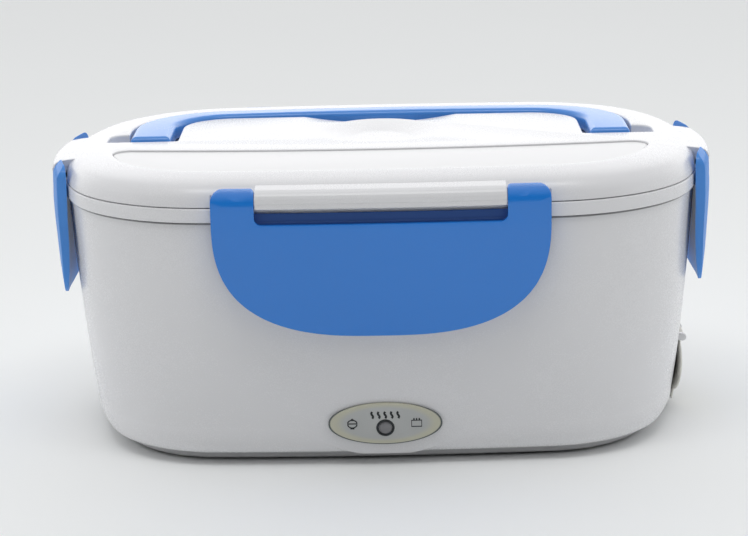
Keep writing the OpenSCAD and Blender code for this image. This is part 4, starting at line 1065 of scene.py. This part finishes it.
def makeFeet():
    f, r, edge = foot, foot["radius"], foot["edge"]
    profile = [(f["hollow"], edge), (f["hollow"] + 0.4, 0.0), (r - edge, 0.0), (r - 0.1, 0.1), (r, edge),
               (r, f["height"])]
    made = lathe("rubberFeet", profile, "foot_rubber", 64)
    setAtCorners(made, f["at"], "foot_rubber")
    settle(made, "heated_base", "foot_rubber", "rubber_feet")


def makeScrews():
    c = screw
    head, shank, low, tip = c["head"], c["shank"], c["low"], c["tip"]
    under = low + c["thick"]
    profile = [(head - 0.5, low), (head - 0.12, low + 0.14), (head, low + 0.5), (head, under), (shank, under)]
    z = under + 0.8
    while z < tip - 1.2:
        profile += [(shank - c["groove"], z), (shank, z + c["pitch"] / 2)]
        z += c["pitch"]
    profile += [(shank - 0.3, tip - 0.8), (0.4, tip)]
    made = lathe("bottomScrews", profile, "screw_steel", 48, 30)
    long, across, deep = (v / 2 for v in c["cross"])
    for x, y in ((long, across), (across, long)):
        cut(made, [[(a * x, b * y, low + e * deep) for a, b in square] for e in (-1, 1)])
    dress(made, "screw_steel", 30)
    setAtCorners(made, c["at"], "screw_steel")
    settle(made, "heated_base", "screw_steel", "bottom_screws")


makeFeet()
makeScrews()
print("feet and screws made")

# The bottom cover. Each hole in a corner is its place, its radius and its heights.
under = {"skirt": 17.0, "low": 1.0, "top": 4.0, "lip": 2.0,
         "holes": [(screw["at"], 3.2, -1.0, 2.6), (screw["at"], 1.7, 2.0, 5.0), (foot["at"], 6.2, -1.0, 1.6)]}


def makeBottomCover():
    skirt, low, top, lip = under["skirt"], under["low"], under["top"], under["lip"]
    profile = softLine([(low, skirt + 0.7), (low, skirt, 0.5), (top, skirt, 0.2), (top, skirt + lip, 0.2),
                        (top - 1, skirt + lip)], 0.3)
    # The cover is coloured darker than the shell white: painted shade under the body.
    made = loft("bottomCover", profile, "shady_white", wide)
    for sx in (-1, 1):
        for sy in (-1, 1):
            for (x, y), r, start, end in under["holes"]:
                circle = [(sx * x + u, sy * y + v) for u, v in ovalPoints(r, r, 45)]
                cut(made, [atHeight(circle, z) for z in (start, end)])
    dress(made, "shady_white")
    settle(made, "heated_base", "shell_white", "bottom_cover")


# The container's wall stands a gap inside the liner. Its rim has a small outer lip.
pot = {"low": 36.3, "rim": 88.0, "wall": 1.4, "gap": 1.2, "lip": 0.6, "lipHigh": 1.6}
panelLine = [(90.8, 9.2), (90.8, 8.0, 0.5), (94.0, 8.0, 0.2), (94.0, 4.7, 0.15), (95.4, 4.7, 0.3), (95.4, 8.01, 0.2),
             (98.3, 8.01, 0.2), (98.3, 9.5, 0.2), (92.4, 9.5, 0.3), (92.4, 11.0)]
sealLine = [(92.2, 4.6, 0.5), (92.2, 7.6, 0.5), (93.8, 7.6, 0.2), (93.8, 4.6, 0.2)]


def makeContainer():
    low, rim, wall, shoulder = pot["low"], pot["rim"], pot["wall"], pot["rim"] - pot["lipHigh"]
    lowIn, rimIn, lipIn = (linerIn(z) + pot["gap"] for z in (low, rim, shoulder))
    profile = [(low, lowIn + 3.4), (low, lowIn, 2.2), (shoulder, lipIn, 0.3), (shoulder, rimIn - pot["lip"], 0.25),
               (rim, rimIn - pot["lip"], 0.5), (rim, rimIn + wall, 0.3), (low + wall, lowIn + wall, 2.6),
               (low + wall, lowIn + 5)]
    made = loft("foodContainer", softLine(profile, 0.3, 5), "container_white", wide)
    settle(made, "food_container", "container_white", "food_container")


def makePanelAndSeal():
    panel = loft("lidInnerPanel", softLine(panelLine, 0.2, 3), "panel_white", wide)
    settle(panel, "lid", "panel_white", "lid_inner_panel")
    seal = loft("lidSeal", softLine(sealLine, 0.3, 4, True), "seal_grey", wide, True)
    settle(seal, "lid", "seal_grey", "lid_seal")


makeBottomCover()
makeContainer()
makePanelAndSeal()
print("bottom cover, container, panel and seal made")

# Every other node keeps its solid and gets its finish.
slots = {s["node"]: s["material_slot"] for s in frame["record"]["subparts"]}
for name, thing in nodes.items():
    if thing.type == "MESH" and name in slots:
        dress(thing, slots[name], 32)

# The floor and a pale tent of light around it, with one soft lamp above the front.
floorHalf = 4.0
softTop = {"place": (0.0, -0.42, 1.25), "size": (0.9, 0.3)}


def makeFloor():
    mesh = rawMesh("floor", [(a * floorHalf, b * floorHalf, 0) for a, b in square], [(0, 1, 2, 3)])
    made = bpy.data.objects.new("floor", mesh)
    bpy.context.scene.collection.objects.link(made)
    net, here = startMaterial("floorPaper")
    paper = net.mix(net.noise(here, 3.0), (0.9, 0.91, 0.905, 1), (0.92, 0.93, 0.925, 1))
    values = {"Base Color": paper, "Roughness": 0.85 + net.noise(here, 900.0) * 0.1, "Specular IOR Level": 0.1}
    mesh.materials.append(endMaterial(net, values))


def makeWorld():
    world = bpy.data.worlds.new("tent")
    bpy.context.scene.world = world
    world.use_nodes = True
    net = Net(world.node_tree)
    x, y, z = net.axes(net.place("Generated"))
    forward = (y * -1).step(0.15, 0.75)
    above = z.step(0.3, 0.85)
    behind = y.step(0.2, 0.8)
    around = light["side"] + behind * (light["behind"] - light["side"]) - forward * (light["side"] - light["front"])
    level = around + above * (light["top"] - around)
    seen = net.node("ShaderNodeLightPath", {}, {})
    strength = level + seen * (light["seen"] - level)
    background = net.node("ShaderNodeBackground", {}, {"Color": (0.985, 0.99, 1.0, 1), "Strength": strength})
    net.node("ShaderNodeOutputWorld", {}, {"Surface": background})


def addLamp():
    data = bpy.data.lights.new("softTop", "AREA")
    data.shape = "RECTANGLE"
    data.size, data.size_y = softTop["size"]
    data.energy = light["lamp"]
    lamp = bpy.data.objects.new("softTop", data)
    bpy.context.scene.collection.objects.link(lamp)
    lamp.location = softTop["place"]
    lamp.rotation_euler = (-Vector(softTop["place"])).to_track_quat("-Z", "Y").to_euler()


makeFloor()
makeWorld()
addLamp()
bpy.context.scene.view_settings.view_transform = "Standard"
print("floor and light made")
